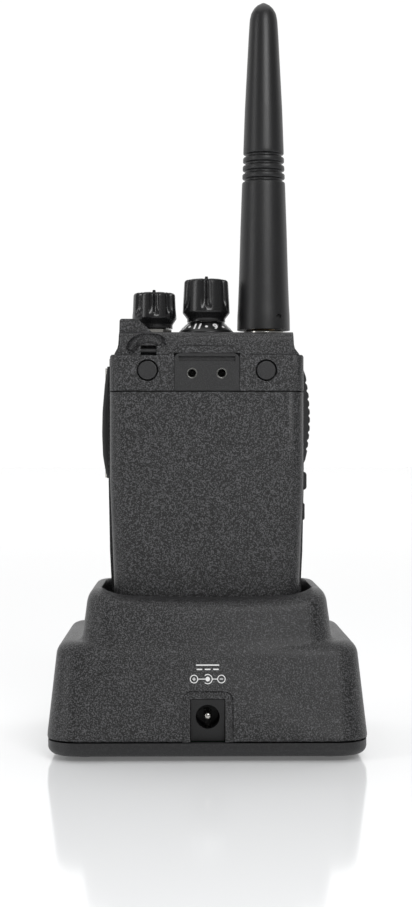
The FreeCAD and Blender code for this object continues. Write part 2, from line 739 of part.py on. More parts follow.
SIDE_KEYS = ("ptt", "upper_key", "lower_key")


def key_levels(name):
    return getattr(D, name + "_foot"), getattr(D, name + "_top")


def make_front_case():
    body = new_body("front_case")
    top = D.case_top
    add(body, "XZ_Plane", D.front_face, D.split_plane - D.gasket_thick, case_outline())
    round_edges(body, D.case_corner_round, lambda e: runs_along(e, (0, 1, 0))
                and lies_at(e, 2, D.foot_level.number))
    round_edges(body, D.case_edge_round, lambda e: lies_at(e, 1, D.front_face.number))
    wall = D.case_wall
    cut(body, "XZ_Plane", D.front_face + wall, D.split_plane - D.gasket_thick,
        case_outline(wall, D.foot_level + wall, top - wall))
    cut_box(body, (-D.case_half + 5.0, D.case_half - 5.0),
            (D.control_row - D.control_body, D.split_plane), (top - wall, top))
    for x in (-D.case_screw_place, D.case_screw_place):
        add(body, "XZ_Plane", D.front_face + wall, D.split_plane - D.gasket_thick,
            (x, D.case_screw_level, 2.4))
        cut(body, "XZ_Plane", D.front_face + wall + 2.0, D.split_plane - D.gasket_thick,
            (x, D.case_screw_level, D.small_screw_radius))
    for row in range(-3, 4):
        level = D.speaker_level + D.grille_pitch * row
        half = D.grille_half if abs(row) < 3 else D.grille_half * 0.7
        cut(body, "XZ_Plane", D.front_face, D.front_face + wall,
            rectangle(-half, half, level - D.grille_slot / 2, level + D.grille_slot / 2))
    cut(body, "XZ_Plane", D.front_face, D.front_face + wall,
        (D.microphone_place, D.microphone_level, 0.6))
    for name in SIDE_KEYS:
        foot, crest = key_levels(name)
        cut_box(body, (-D.case_half, -D.key_inner + D.ptt_travel + D.key_gap),
                key_rows(D.key_gap),
                (foot - D.key_gap, crest + D.key_gap))
    for level, bore in jack_bores():
        cut(body, "YZ_Plane", D.case_half - wall - 0.4, D.case_half,
            (jack_row(), level, bore / 2 + 0.6))
    lug_x = D.case_half + D.knuckle_radius
    for low, high in lug_levels():
        add(body, "XY_Plane", low, high,
            rectangle(D.case_half - 0.5, lug_x + D.jack_cover_gap,
                      hinge_row() - D.knuckle_radius, hinge_row() + D.knuckle_radius),)
        cut(body, "XY_Plane", low, high, (hinge_column(), hinge_row(), D.hinge_pin_radius))
    return keep(body)


def hinge_row():
    return D.key_front - D.knuckle_radius


def hinge_column():
    return D.case_half + D.jack_cover_gap + D.knuckle_radius


def jack_row():
    return (D.key_front + D.key_rear) / 2


def jack_bores():
    """The level and bore of the earphone and microphone sockets."""
    return ((D.jacks_level, D.earphone_bore), (D.jacks_level + D.jacks_pitch, D.microphone_bore))


def lug_levels():
    return ((D.jack_cover_foot, D.jack_cover_foot + D.lug_height),
            (D.jack_cover_top - D.lug_height, D.jack_cover_top))


def make_seal_gasket():
    body = new_body("seal_gasket")
    rear = D.split_plane
    front = rear - D.gasket_thick
    top = D.case_top
    add(body, "XZ_Plane", front, rear, case_outline(0.5, D.foot_level + 0.5, top - 0.5))
    cut(body, "XZ_Plane", front, rear, case_outline(1.6, D.foot_level + 1.6, top - 1.6))
    cut_box(body, (-D.case_half + 5.0, D.case_half - 5.0), (front, rear), (top - 3.0, top))
    return keep(body)


def make_rear_chassis():
    body = new_body("rear_chassis")
    wall = 1.6
    split = D.split_plane
    shelf = D.joint_level + D.joint_gap / 2
    room_floor = shelf + wall
    add(body, "XZ_Plane", split, D.back_plate, case_outline(0.0, D.foot_level, room_floor))
    block = [(D.shoulder_half, shelf), (D.shoulder_half, D.shoulder_step),
             (D.shoulder_half - 0.5, D.seam_low)]
    outline = block + seam_outline(0.0) + [(-x, z) for x, z in reversed(block)]
    add(body, "XZ_Plane", split, D.rear_plane, outline)
    round_edges(body, 3.0, lambda e: lies_at(e, 1, D.rear_plane.number)
                and runs_along(e, (0, 0, 1)))
    cut(body, "XZ_Plane", split, D.back_plate - wall,
        case_outline(1.8, D.foot_level + wall, room_floor))
    cut_box(body, (-D.shoulder_half + 1.8, D.shoulder_half - 1.8),
            (split, D.rear_plane - 2.6), (room_floor, D.seam_high))
    for x in (-D.cap_place, D.cap_place):
        add(body, "XZ_Plane", D.back_plate, D.rear_plane - 1.0, (x, D.cap_level, 3.2))
    half_gap = D.insert_spacing / 2
    add(body, "XZ_Plane", D.rear_plane - D.insert_length - 0.8, D.rear_plane - 1.0,
        *[(x, D.insert_level, D.insert_radius + 1.3) for x in (-half_gap, half_gap)])
    line = D.part_line
    cut(body, "XZ_Plane", D.rear_plane - D.plate_thick - line, D.rear_plane,
        rectangle(-D.plate_half - line, D.plate_half + line, shelf - line, D.plate_top + line))
    cut(body, "XZ_Plane", D.rear_plane - D.insert_length, D.rear_plane - D.plate_thick,
        *[(x, D.insert_level, D.insert_radius) for x in (-half_gap, half_gap)])
    for x in (-D.cap_place, D.cap_place):
        cut(body, "XZ_Plane", D.rear_plane - D.cap_deep, D.rear_plane,
            (x, D.cap_level, D.cap_radius + D.cap_ring))
        cut(body, "XZ_Plane", D.rear_plane - D.cap_deep - 1.8, D.rear_plane - D.cap_deep,
            (x, D.cap_level, 2.2))
        cut(body, "XZ_Plane", D.back_plate, D.rear_plane - D.cap_deep - 1.8,
            (x, D.cap_level, D.small_screw_radius))
    for x in (-D.case_screw_place, D.case_screw_place):
        cut(body, "XZ_Plane", split, D.back_plate, (x, D.case_screw_level, 1.2))
        cut(body, "XZ_Plane", D.back_plate - 1.0, D.back_plate, (x, D.case_screw_level, 2.2))
    for side in (-1, 1):
        add(body, "XY_Plane", D.rail_foot, D.rail_top, rail_outline(side, 0.0))
    half = D.contact_size / 2 + 0.1
    for x in contact_columns():
        cut_box(body, (x - half, x + half), (D.back_plate - wall, D.back_plate),
                (D.contact_level - half, D.contact_level + half))
    cut_box(body, (-D.latch_button_half - 0.4, D.latch_button_half + 0.4),
            latch_slot_rows(), (D.foot_level, D.foot_level + wall))
    cut_box(body, (-D.latch_tongue_half - 0.4, D.latch_tongue_half + 0.4),
            (D.back_plate - wall, D.back_plate), (latch_floor(), latch_floor() + 2.6))
    cut_box(body, lanyard_span(), (D.cover_rear - D.lanyard_depth, D.rear_plane),
            (D.lanyard_level - D.lanyard_height / 2, D.seam_high))
    return keep(body)


def lanyard_span():
    return (D.lanyard_place - D.lanyard_width / 2, D.lanyard_place + D.lanyard_width / 2)


def make_top_cover():
    body = new_body("top_cover")
    line = D.part_line
    low = D.seam_low + line
    roof = D.roof_level
    flare = [(0.45, 1.6), (0.2, 2.6), (0.1, 4.0)]
    right = [(D.cover_foot_half, low)] + [
        (D.roof_half_right + out, low + rise) for out, rise in flare] + [(D.roof_half_right, roof)]
    left = [(-D.roof_half_left, roof)] + [
        (-D.roof_half_left - out, low + rise) for out, rise in reversed(flare)] + [
        (-D.cover_foot_half, low)]
    add(body, "XZ_Plane", D.split_plane, D.cover_rear,
        right + left + [(x, z) for x, z in reversed(seam_outline(line))])
    add(body, "XZ_Plane", D.cover_front, D.split_plane, right + left)
    round_edges(body, 2.4, lambda e: lies_at(e, 2, roof.number) and not lies_at(
        e, 1, D.split_plane.number) and runs_along(e, (1, 0, 0)))
    ceiling = roof - D.roof_thick
    inner = 2.2
    cut_box(body, (-D.roof_half_left + inner, D.roof_half_right - inner),
            (D.cover_front + inner, D.cover_rear - D.lanyard_depth - 1.4), (low, ceiling))
    add(body, "XZ_Plane", D.post_front, D.post_rear,
        [(D.post_foot, roof - 0.5), (D.roof_half_right, roof - 0.5),
         (D.post_outer, D.post_level), (D.post_inner, D.post_level), (D.post_foot, roof)])
    round_edges(body, 0.7, lambda e: lies_at(e, 2, D.post_level.number)
                and runs_along(e, (0, 1, 0)))
    for x in (as_length(0), D.volume_place):
        cut(body, "XY_Plane", ceiling, roof, (x, D.control_row, bushing_radius() + 0.1))
    cut(body, "XY_Plane", ceiling, roof,
        (D.antenna_place, D.control_row, D.socket_radius + 1.0))
    cut(body, "XY_Plane", ceiling, roof, radio_lens_circle(D.part_line))
    cut_box(body, lanyard_span(), (D.cover_rear - D.lanyard_depth, D.cover_rear),
            (low, D.lanyard_level + D.lanyard_height / 2))
    cut_box(body, lanyard_span(), (D.cover_rear - D.lanyard_depth, D.cover_rear - 3.2),
            (low, D.post_level))
    return keep(body)


def radio_lens_circle(gap):
    return (D.antenna_place / 2, -D.control_row * 1.8, 1.4 + gap)


def make_roof_trim():
    lens = new_body("radio_status_lens")
    add(lens, "XY_Plane", D.roof_level - D.roof_thick - 0.8, D.roof_level + 0.3,
        radio_lens_circle(0.0))
    keep(lens)
    bar = new_body("lanyard_bar")
    left, right = lanyard_span()
    add(bar, "YZ_Plane", left, right,
        (D.cover_rear - 1.6, D.lanyard_level, D.lanyard_pin_radius))
    keep(bar)


def make_belt_place():
    plate = new_body("belt_plate")
    shelf = D.joint_level + D.joint_gap / 2
    front = D.rear_plane - D.plate_thick
    add(plate, "XZ_Plane", front, D.rear_plane + 0.1,
        rectangle(-D.plate_half, D.plate_half, shelf, D.plate_top))
    round_edges(plate, D.plate_round, lambda e: runs_along(e, (0, 1, 0))
                and lies_at(e, 2, D.plate_top.number))
    half_gap = D.insert_spacing / 2
    cut(plate, "XZ_Plane", front, D.rear_plane + 0.1,
        *[(x, D.insert_level, D.insert_radius) for x in (-half_gap, half_gap)])
    cut(plate, "XZ_Plane", D.rear_plane - 0.8, D.rear_plane + 0.1,
        rectangle(-D.groove_half, D.groove_half, D.groove_level - D.groove_height / 2,
                  D.groove_level + D.groove_height / 2))
    keep(plate)
    inserts = new_body("belt_inserts")
    add(inserts, "XZ_Plane", D.rear_plane - D.insert_length, D.rear_plane,
        *[(x, D.insert_level, D.insert_radius) for x in (-half_gap, half_gap)])
    cut(inserts, "XZ_Plane", D.rear_plane - D.insert_length, D.rear_plane,
        *[(x, D.insert_level, D.insert_bore / 2) for x in (-half_gap, half_gap)])
    round_edges(inserts, D.insert_chamfer, lambda e: lies_at(e, 1, D.rear_plane.number)
                and e.Curve.Radius < D.insert_radius.number - 0.01, "PartDesign::Chamfer")
    keep(inserts)


def make_screws_and_caps():
    caps = new_body("screw_caps")
    columns = (-D.cap_place, D.cap_place)
    add(caps, "XZ_Plane", D.rear_plane - D.cap_deep, D.rear_plane,
        *[(x, D.cap_level, D.cap_radius) for x in columns])
    round_edges(caps, 0.25, lambda e: lies_at(e, 1, D.rear_plane.number))
    keep(caps)
    screws = new_body("chassis_screws")
    seat = D.rear_plane - D.cap_deep
    add(screws, "XZ_Plane", seat - 1.8, seat, *[(x, D.cap_level, 2.0) for x in columns])
    add(screws, "XZ_Plane", D.back_plate + 0.5, seat - 1.8,
        *[(x, D.cap_level, D.small_screw_radius) for x in columns])
    low = (-D.case_screw_place, D.case_screw_place)
    add(screws, "XZ_Plane", D.back_plate - 1.0, D.back_plate,
        *[(x, D.case_screw_level, 2.0) for x in low])
    add(screws, "XZ_Plane", D.split_plane - 9.0, D.back_plate - 1.0,
        *[(x, D.case_screw_level, D.small_screw_radius) for x in low])
    keep(screws)


# ---------------------------------------------------------------- controls on the roof

def make_control(label, x, shaft_top):
    """A rotary control: its housing with a threaded bushing, and its shaft."""
    ceiling = D.roof_level - D.roof_thick
    half = D.control_body / 2
    housing = new_body(label)
    add_box(housing, (x - half, x + half), (D.control_row - half, D.control_row + half),
            (ceiling - D.control_body_height, ceiling))
    add(housing, "XY_Plane", ceiling, D.bushing_level, (x, D.control_row, bushing_radius() - 0.1))
    cut(housing, "XY_Plane", ceiling - D.control_body_height + 1.0, D.bushing_level,
        (x, D.control_row, D.shaft_radius + D.shaft_fit))
    keep(housing)
    shaft = new_body(label.split("_")[0] + "_shaft")
    add(shaft, "XY_Plane", ceiling - D.control_body_height + 1.3, shaft_top,
        (x, D.control_row, D.shaft_radius))
    cut_box(shaft, (x - D.shaft_radius, x + D.shaft_radius),
            (D.control_row + D.shaft_radius * 0.55, D.control_row + D.shaft_radius),
            (D.bushing_level + 1.6, shaft_top))
    keep(shaft)


def knob_outline(top, radius, skirt, neck, skirt_level, neck_level):
    return [(0, neck_level), (neck, neck_level), (neck, skirt_level - 1.0),
            (skirt, skirt_level), (radius, top), (0, top)]


def make_knob(label, x, top, radius, skirt, neck, skirt_level, neck_level, flutes):
    """A fluted knob with a flat-sided bore for its shaft."""
    body = new_body(label)
    turn(body, knob_outline(top, radius, skirt, neck, skirt_level, neck_level))
    round_edges(body, D.knob_round, lambda e: lies_at(e, 2, top.number)
                and e.BoundBox.XLength > radius.number)
    flute_foot = skirt_level + 1.6
    cutter = (0, radius + D.knob_flute_radius * 0.55, D.knob_flute_radius)
    flute = cut(body, "XY_Plane", flute_foot, top, cutter)
    pattern = body.newObject("PartDesign::PolarPattern", "Flutes")
    pattern.Originals = [flute]
    pattern.Axis = ([o for o in body.Origin.OriginFeatures if o.Role == "Z_Axis"][0], [""])
    pattern.Angle = 360.0
    pattern.Occurrences = flutes
    body.Tip = pattern
    doc.recompute()
    cut(body, "XY_Plane", neck_level, top - 1.8, (0, 0, D.shaft_radius))
    if neck_level.number < D.bushing_level.number:
        cut(body, "XY_Plane", neck_level, D.bushing_level + D.key_gap,
            (0, 0, bushing_radius() + D.key_gap))
    place(body, x, D.control_row)
    return keep(body)


def make_nuts():
    body = new_body("control_nuts")
    radius = (bushing_radius() + D.nut_wall) * 2 / math.sqrt(3.0)
    foot = D.roof_level
    for x in (as_length(0), D.volume_place):
        corners = [(x + radius * math.cos(math.radians(60 * i)),
                    D.control_row + radius * math.sin(math.radians(60 * i))) for i in range(6)]
        add(body, "XY_Plane", foot, foot + D.nut_height, corners)
        cut(body, "XY_Plane", foot, foot + D.nut_height, (x, D.control_row, bushing_radius()))
    return keep(body)


def make_dial_ring():
    body = new_body("dial_ring")
    foot = D.roof_level + D.part_line
    shelf = foot + D.nut_height + 0.3
    hole = bushing_radius() + 0.2
    turn(body, [(hole + 1.9, foot), (D.dial_foot_radius, foot),
                (D.dial_foot_radius, foot + 0.5), (D.dial_top_radius, D.dial_level),
                (hole, D.dial_level), (hole, shelf), (hole + 1.9, shelf)])
    place(body, 0, D.control_row)
    return keep(body)


def make_antenna():
    socket = new_body("antenna_socket")
    ceiling = D.roof_level - D.roof_thick
    radius = D.socket_radius
    turn(socket, [(0, ceiling - 5.0), (4.5, ceiling - 5.0), (4.5, ceiling),
                  (radius + 0.9, ceiling), (radius + 0.9, D.roof_level), (5.6, D.roof_level),
                  (5.6, D.roof_level + 1.1), (radius, D.roof_level + 1.1),
                  (radius, D.socket_level), (1.9, D.socket_level),
                  (1.9, D.socket_level - 3.0), (0, D.socket_level - 3.0)])
    place(socket, D.antenna_place, D.control_row)
    keep(socket)
    foot = D.antenna_foot
    ferrule_top = D.socket_level + 3.0
    ferrule = new_body("antenna_connector")
    bore = radius + 0.06
    turn(ferrule, [(bore, foot + 0.4), (D.ferrule_radius, foot + 0.4),
                   (D.ferrule_radius, ferrule_top), (0, ferrule_top), (0, D.socket_level - 2.4),
                   (0.5, D.socket_level - 2.4), (0.5, D.socket_level + 0.5),
                   (bore, D.socket_level + 0.5)])
    place(ferrule, D.antenna_place, D.control_row)
    keep(ferrule)
    core = new_body("antenna_core")
    core_top = D.antenna_top_level - 2.0
    turn(core, [(0, ferrule_top), (D.antenna_core_radius, ferrule_top),
                (D.antenna_core_radius * 0.8, core_top), (0, core_top)])
    place(core, D.antenna_place, D.control_row)
    keep(core)
    sleeve = new_body("antenna_sleeve")
    tip = D.antenna_tip
    turn(sleeve, [(0, foot), (D.antenna_foot_radius, foot),
                  (D.antenna_mid_radius, D.antenna_mid_level),
                  (D.antenna_top_radius, D.antenna_top_level),
                  (D.antenna_top_radius * 0.82, tip - 1.9), (D.antenna_top_radius * 0.42, tip - 0.4),
                  (0, tip)])
    turn(sleeve, [(0, foot), (D.ferrule_radius, foot), (D.ferrule_radius, ferrule_top),
                  (D.antenna_core_radius, ferrule_top), (D.antenna_core_radius * 0.8, core_top),
                  (0, core_top)], "PartDesign::Groove")
    ring_floor = D.antenna_mid_radius - D.ring_groove_depth
    for i in range(4):
        low = D.ring_groove_level + D.ring_groove_pitch * i
        turn(sleeve, [(ring_floor + 0.9, low), (D.antenna_foot_radius, low),
                      (D.antenna_foot_radius, low + D.ring_groove_width),
                      (ring_floor + 0.9, low + D.ring_groove_width)], "PartDesign::Groove")
    place(sleeve, D.antenna_place, D.control_row)
    keep(sleeve)


# ---------------------------------------------------------------- side keys and jack cover

def make_side_key(label, name, proud):
    body = new_body(label)
    foot, crest = key_levels(name)
    front, rear = key_rows(0.0)
    outer = D.case_half + proud
    add_box(body, (-outer, -D.key_inner), (front, rear), (foot, crest))
    round_edges(body, proud * 0.7, lambda e: lies_at(e, 0, -outer.number)
                and runs_along(e, (0, 1, 0)))
    return body


def make_side_keys():
    ptt = make_side_key("ptt_button", "ptt", D.ptt_proud)
    outer = D.case_half + D.ptt_proud
    front, rear = key_rows(0.0)
    count = int((D.ptt_top - D.ptt_foot).number / D.ptt_rib_pitch.number) - 1
    first = D.ptt_foot + D.ptt_rib_pitch
    groove = cut(ptt, "XY_Plane", first, first + D.ptt_rib_pitch * 0.45,
                 rectangle(-outer, -outer + D.ptt_rib_depth, front, rear))
    pattern = ptt.newObject("PartDesign::LinearPattern", "Ribs")
    pattern.Originals = [groove]
    pattern.Direction = ([o for o in ptt.Origin.OriginFeatures if o.Role == "Z_Axis"][0], [""])
    pattern.Occurrences = count
    bind(pattern, "Length", D.ptt_rib_pitch * (count - 1))
    ptt.Tip = pattern
    doc.recompute()
    keep(ptt)
    keep(make_side_key("side_key_upper", "upper_key", D.upper_key_proud))
    keep(make_side_key("side_key_lower", "lower_key", D.lower_key_proud))


def make_key_switches():
    body = new_body("key_switches")
    plate = D.key_inner - D.ptt_travel - 0.8 - 2 * D.key_gap
    front, rear = key_rows(0.0)
    add_box(body, (-plate + 0.8, -plate + 1.6), (front + 1.0, rear - 1.5),
            (D.lower_key_foot, D.ptt_top - 1.0))
    for name in SIDE_KEYS:
        foot, crest = key_levels(name)
        level = (foot + crest) / 2
        add(body, "YZ_Plane", -plate, -plate + 0.8, (jack_row(), level, 2.0))
    return keep(body)


def make_jack_cover():
    body = new_body("jack_cover")
    inner = D.case_half + D.jack_cover_gap
    outer = inner + D.jack_cover_thick
    row = hinge_row()
    low = D.jack_cover_foot + D.lug_height + 0.3
    high = D.jack_cover_top - D.lug_height - 0.3
    add_box(body, (inner, outer), (row, D.key_rear), (low, high))
    add_box(body, (inner, outer), (D.key_front + 0.3, D.key_rear),
            (D.jack_cover_foot, D.jack_cover_top))
    round_edges(body, D.jack_cover_thick * 0.75, lambda e: lies_at(e, 0, outer.number)
                and (lies_at(e, 2, D.jack_cover_foot.number)
                     or lies_at(e, 2, D.jack_cover_top.number)
                     or lies_at(e, 1, D.key_rear.number)))
    add(body, "XY_Plane", low, high, (hinge_column(), row, D.knuckle_radius))
    cut(body, "XY_Plane", low, high, (hinge_column(), row, D.hinge_pin_radius + 0.06))
    keep(body)
    pin = new_body("jack_cover_pin")
    add(pin, "XY_Plane", D.jack_cover_foot, D.jack_cover_top,
        (hinge_column(), row, D.hinge_pin_radius))
    keep(pin)


def make_accessory_jacks():
    body = new_body("accessory_jacks")
    right = D.case_half - D.case_wall - 0.4
    half = 3.2
    add_box(body, (right - 8.0, right), (jack_row() - half, jack_row() + half),
            (D.jacks_level - 4.5, D.jacks_level + D.jacks_pitch + 4.0))
    for level, bore in jack_bores():
        cut(body, "YZ_Plane", right - 7.0, right, (jack_row(), level, bore / 2))
    return keep(body)


# ---------------------------------------------------------------- inside the radio

def make_main_board():
    board = new_body("main_board")
    rear = D.main_board_plane + D.main_board_thick
    add_box(board, (-D.main_board_half, D.main_board_half), (D.main_board_plane, rear),
            (D.main_board_foot, D.main_board_top))
    keep(board)
    cans = new_body("shield_cans")
    depth = 2.2
    front = D.main_board_plane - depth
    rows = ((D.main_board_foot + 4.0, 22.0), (D.main_board_foot + 29.0, 20.0),
            (D.main_board_foot + 52.0, 24.0))
    for foot, height in rows:
        add_box(cans, (-D.main_board_half + 4.0, D.main_board_half - 4.0),
                (front, D.main_board_plane), (foot, foot + height))
    keep(cans)
    springs = new_body("radio_battery_contacts")
    half = D.contact_size / 2 - 0.1
    add(springs, "XZ_Plane", rear, D.back_plate + 0.05,
        *[rectangle(x - half, x + half, D.contact_level - half, D.contact_level + half)
          for x in contact_columns()])
    keep(springs)


def make_speaker():
    level = D.speaker_level
    front = D.front_face + D.case_wall
    radius = D.speaker_radius
    mesh = new_body("speaker_mesh")
    add(mesh, "XZ_Plane", front, front + 0.3, (0, level, radius + 0.5))
    keep(mesh)
    # The speaker is turned about its own Z axis, then laid down to face the front.
    frame = new_body("speaker_frame")
    turn(frame, [(radius - 2.0, 0), (radius, 0), (radius, 2.0), (8.6, 6.6), (8.6, 7.4),
                 (7.4, 7.4), (7.4, 6.0), (radius - 2.0, 1.4)])
    cone = new_body("speaker_cone")
    turn(cone, [(0, 3.4), (4.0, 3.4), (radius - 2.2, 0.4), (radius - 2.2, 0.8),
                (4.2, 3.9), (0, 3.9)])
    magnet = new_body("speaker_magnet")
    turn(magnet, [(0, 7.6), (9.0, 7.6), (9.0, 10.6), (0, 10.6)])
    for body in (frame, cone, magnet):
        rotation = FreeCAD.Rotation(FreeCAD.Vector(1, 0, 0), -90)
        body.Placement = FreeCAD.Placement(
            FreeCAD.Vector(0, front.number + 0.4, level.number), rotation)
        body.setExpression("Placement.Base.y", (front + 0.4).formula)
        body.setExpression("Placement.Base.z", level.formula)
        doc.recompute()
        keep(body)


def make_microphone():
    body = new_body("microphone")
    front = D.front_face + D.case_wall
    add(body, "XZ_Plane", front, front + 2.6,
        (D.microphone_place, D.microphone_level, D.microphone_radius))
    return keep(body)


# ---------------------------------------------------------------- battery latch

def latch_floor():
    return D.foot_level + 1.6 + 0.4


def latch_rows():
    """The latch plate's front and rear, with its travel left free in front of it."""
    rear = D.back_plate - 1.6 - 0.3
    return (rear - 2.2, rear)


def latch_slot_rows():
    front, rear = latch_rows()
    return (front + 0.4 - D.latch_travel - 0.3, rear - 0.2 + 0.3)


def make_latch():
    body = new_body("battery_latch")
    front, rear = latch_rows()
    floor = latch_floor() + 0.1
    add_box(body, (-D.latch_half, D.latch_half), (front, rear), (floor, floor + 2.2))
    add_box(body, (-D.latch_button_half, D.latch_button_half), (front + 0.4, rear - 0.2),
            (D.foot_level + 0.2, floor))
    add_box(body, (-D.latch_tongue_half, D.latch_tongue_half), (rear, D.back_plate + 1.6),
            (floor + 0.3, floor + 1.9))
    keep(body)
    spring_front = front.number - 6.0
    coil_level = floor.number + 1.2
    springs = [((side * 3.6, spring_front, coil_level), (0, 1, 0), 0.9, 0.15, 5.8, 5)
               for side in (-1, 1)]
    keep(new_springs("latch_springs", springs))
    holder = new_body("latch_spring_seat")
    add_box(holder, (-D.latch_half, D.latch_half), (front - 7.2, front - 6.2),
            (floor + 0.1, floor + 2.6))
    keep(holder)


# ---------------------------------------------------------------- build and export

def build():
    make_cradle_shell()
    make_cradle_base()
    make_cradle_feet()
    make_cradle_screws()
    make_charger_board()
    make_status_lens()
    make_dc_jack()
    make_charge_pins()
    make_battery()
    make_front_case()
    make_seal_gasket()
    make_rear_chassis()
    make_top_cover()
    make_roof_trim()
    make_belt_place()
    make_screws_and_caps()
    make_control("channel_switch", as_length(0), D.channel_knob_top - 2.2)
    make_control("volume_control", D.volume_place, D.volume_knob_top - 2.2)
    make_knob("channel_knob", as_length(0), D.channel_knob_top, D.channel_knob_radius,
              D.channel_knob_skirt, D.channel_knob_neck, D.channel_skirt_level,
              D.channel_neck_level, 6)
    make_knob("volume_knob", D.volume_place, D.volume_knob_top, D.volume_knob_radius,
              D.volume_knob_skirt, D.volume_knob_neck, D.volume_skirt_level,
              D.volume_neck_level, 8)
    make_nuts()
    make_dial_ring()
    make_antenna()
    make_side_keys()
    make_key_switches()
    make_jack_cover()
    make_accessory_jacks()
    make_main_board()
    make_speaker()
    make_microphone()
    make_latch()


def check_objects():
    doc.recompute()
    for item in doc.Objects:
        if "Invalid" in item.State or "Error" in item.State:
            raise RuntimeError("%s failed: %s" % (item.Label, item.State))
    for item in NODES:
        shape = item.Shape
        if shape.isNull() or not shape.isValid() or not shape.Solids:
            raise RuntimeError("%s has no valid solid" % item.Label)


def export():
    os.makedirs("parts", exist_ok=True)
    for item in NODES:
        item.Shape.exportStep("parts/%s.step" % item.Label)
        print("%-26s %d solid(s) %9.2f mm3" % (item.Label, len(item.Shape.Solids),
                                               item.Shape.Volume))


build()
check_objects()
export()
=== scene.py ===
import logging
import math
from dataclasses import dataclass, field
from enum import Enum
from typing import Callable, Iterable, Sequence

import bmesh
import bpy
from mathutils import Matrix, Vector
from mathutils.bvhtree import BVHTree


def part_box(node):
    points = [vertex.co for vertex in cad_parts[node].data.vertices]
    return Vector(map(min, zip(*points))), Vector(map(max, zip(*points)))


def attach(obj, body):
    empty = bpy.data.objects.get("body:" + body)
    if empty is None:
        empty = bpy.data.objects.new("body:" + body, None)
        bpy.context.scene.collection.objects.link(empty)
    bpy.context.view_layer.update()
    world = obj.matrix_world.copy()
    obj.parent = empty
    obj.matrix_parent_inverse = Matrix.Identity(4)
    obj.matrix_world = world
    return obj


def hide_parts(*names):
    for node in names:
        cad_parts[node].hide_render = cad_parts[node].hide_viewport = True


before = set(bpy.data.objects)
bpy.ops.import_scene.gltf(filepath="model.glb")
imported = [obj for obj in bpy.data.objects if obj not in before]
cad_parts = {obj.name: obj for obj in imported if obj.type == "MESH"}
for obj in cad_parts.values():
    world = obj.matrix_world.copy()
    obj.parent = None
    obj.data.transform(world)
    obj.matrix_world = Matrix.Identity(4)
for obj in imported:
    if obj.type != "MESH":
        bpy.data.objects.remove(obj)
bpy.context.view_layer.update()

MM = 0.001
LOG = logging.getLogger("two_way_radio")

Point = tuple[float, float, float]
Colour = tuple[float, float, float, float]


# ---------------------------------------------------------------- colour and node helpers

def linear(code: str) -> Colour:
    """Turn an sRGB hex colour into linear light.

    Args:
        code: Six hex digits, such as "3a3a3c".

    Returns:
        The linear colour with full alpha.
    """
    channels = [int(code[i:i + 2], 16) / 255 for i in (0, 2, 4)]
    bent = [c / 12.92 if c <= 0.04045 else ((c + 0.055) / 1.055) ** 2.4 for c in channels]
    return (bent[0], bent[1], bent[2], 1.0)


def add_node(tree: bpy.types.NodeTree, kind: str, settings: dict | None = None,
             inputs: dict | None = None) -> bpy.types.Node:
    """Add a node with its settings, input values and links.

    Args:
        tree: The tree that gets the node.
        kind: The node's type name.
        settings: Attributes to set on the node.
        inputs: Input names or indices with a value, or a socket to link from.

    Returns:
        The new node.
    """
    node = tree.nodes.new(kind)
    for name, value in (settings or {}).items():
        setattr(node, name, value)
    for name, value in (inputs or {}).items():
        if isinstance(value, bpy.types.NodeSocket):
            tree.links.new(value, node.inputs[name])
        else:
            node.inputs[name].default_value = value
    return node


# ---------------------------------------------------------------- finishes

class Grain(Enum):
    """How a surface was made, which sets its fine relief."""

    SMOOTH = "polished mould"
    SPARK = "spark-eroded mould"
    FINE = "fine blasted mould"
    TURNED = "lathe turned"
    WOVEN = "woven cloth"


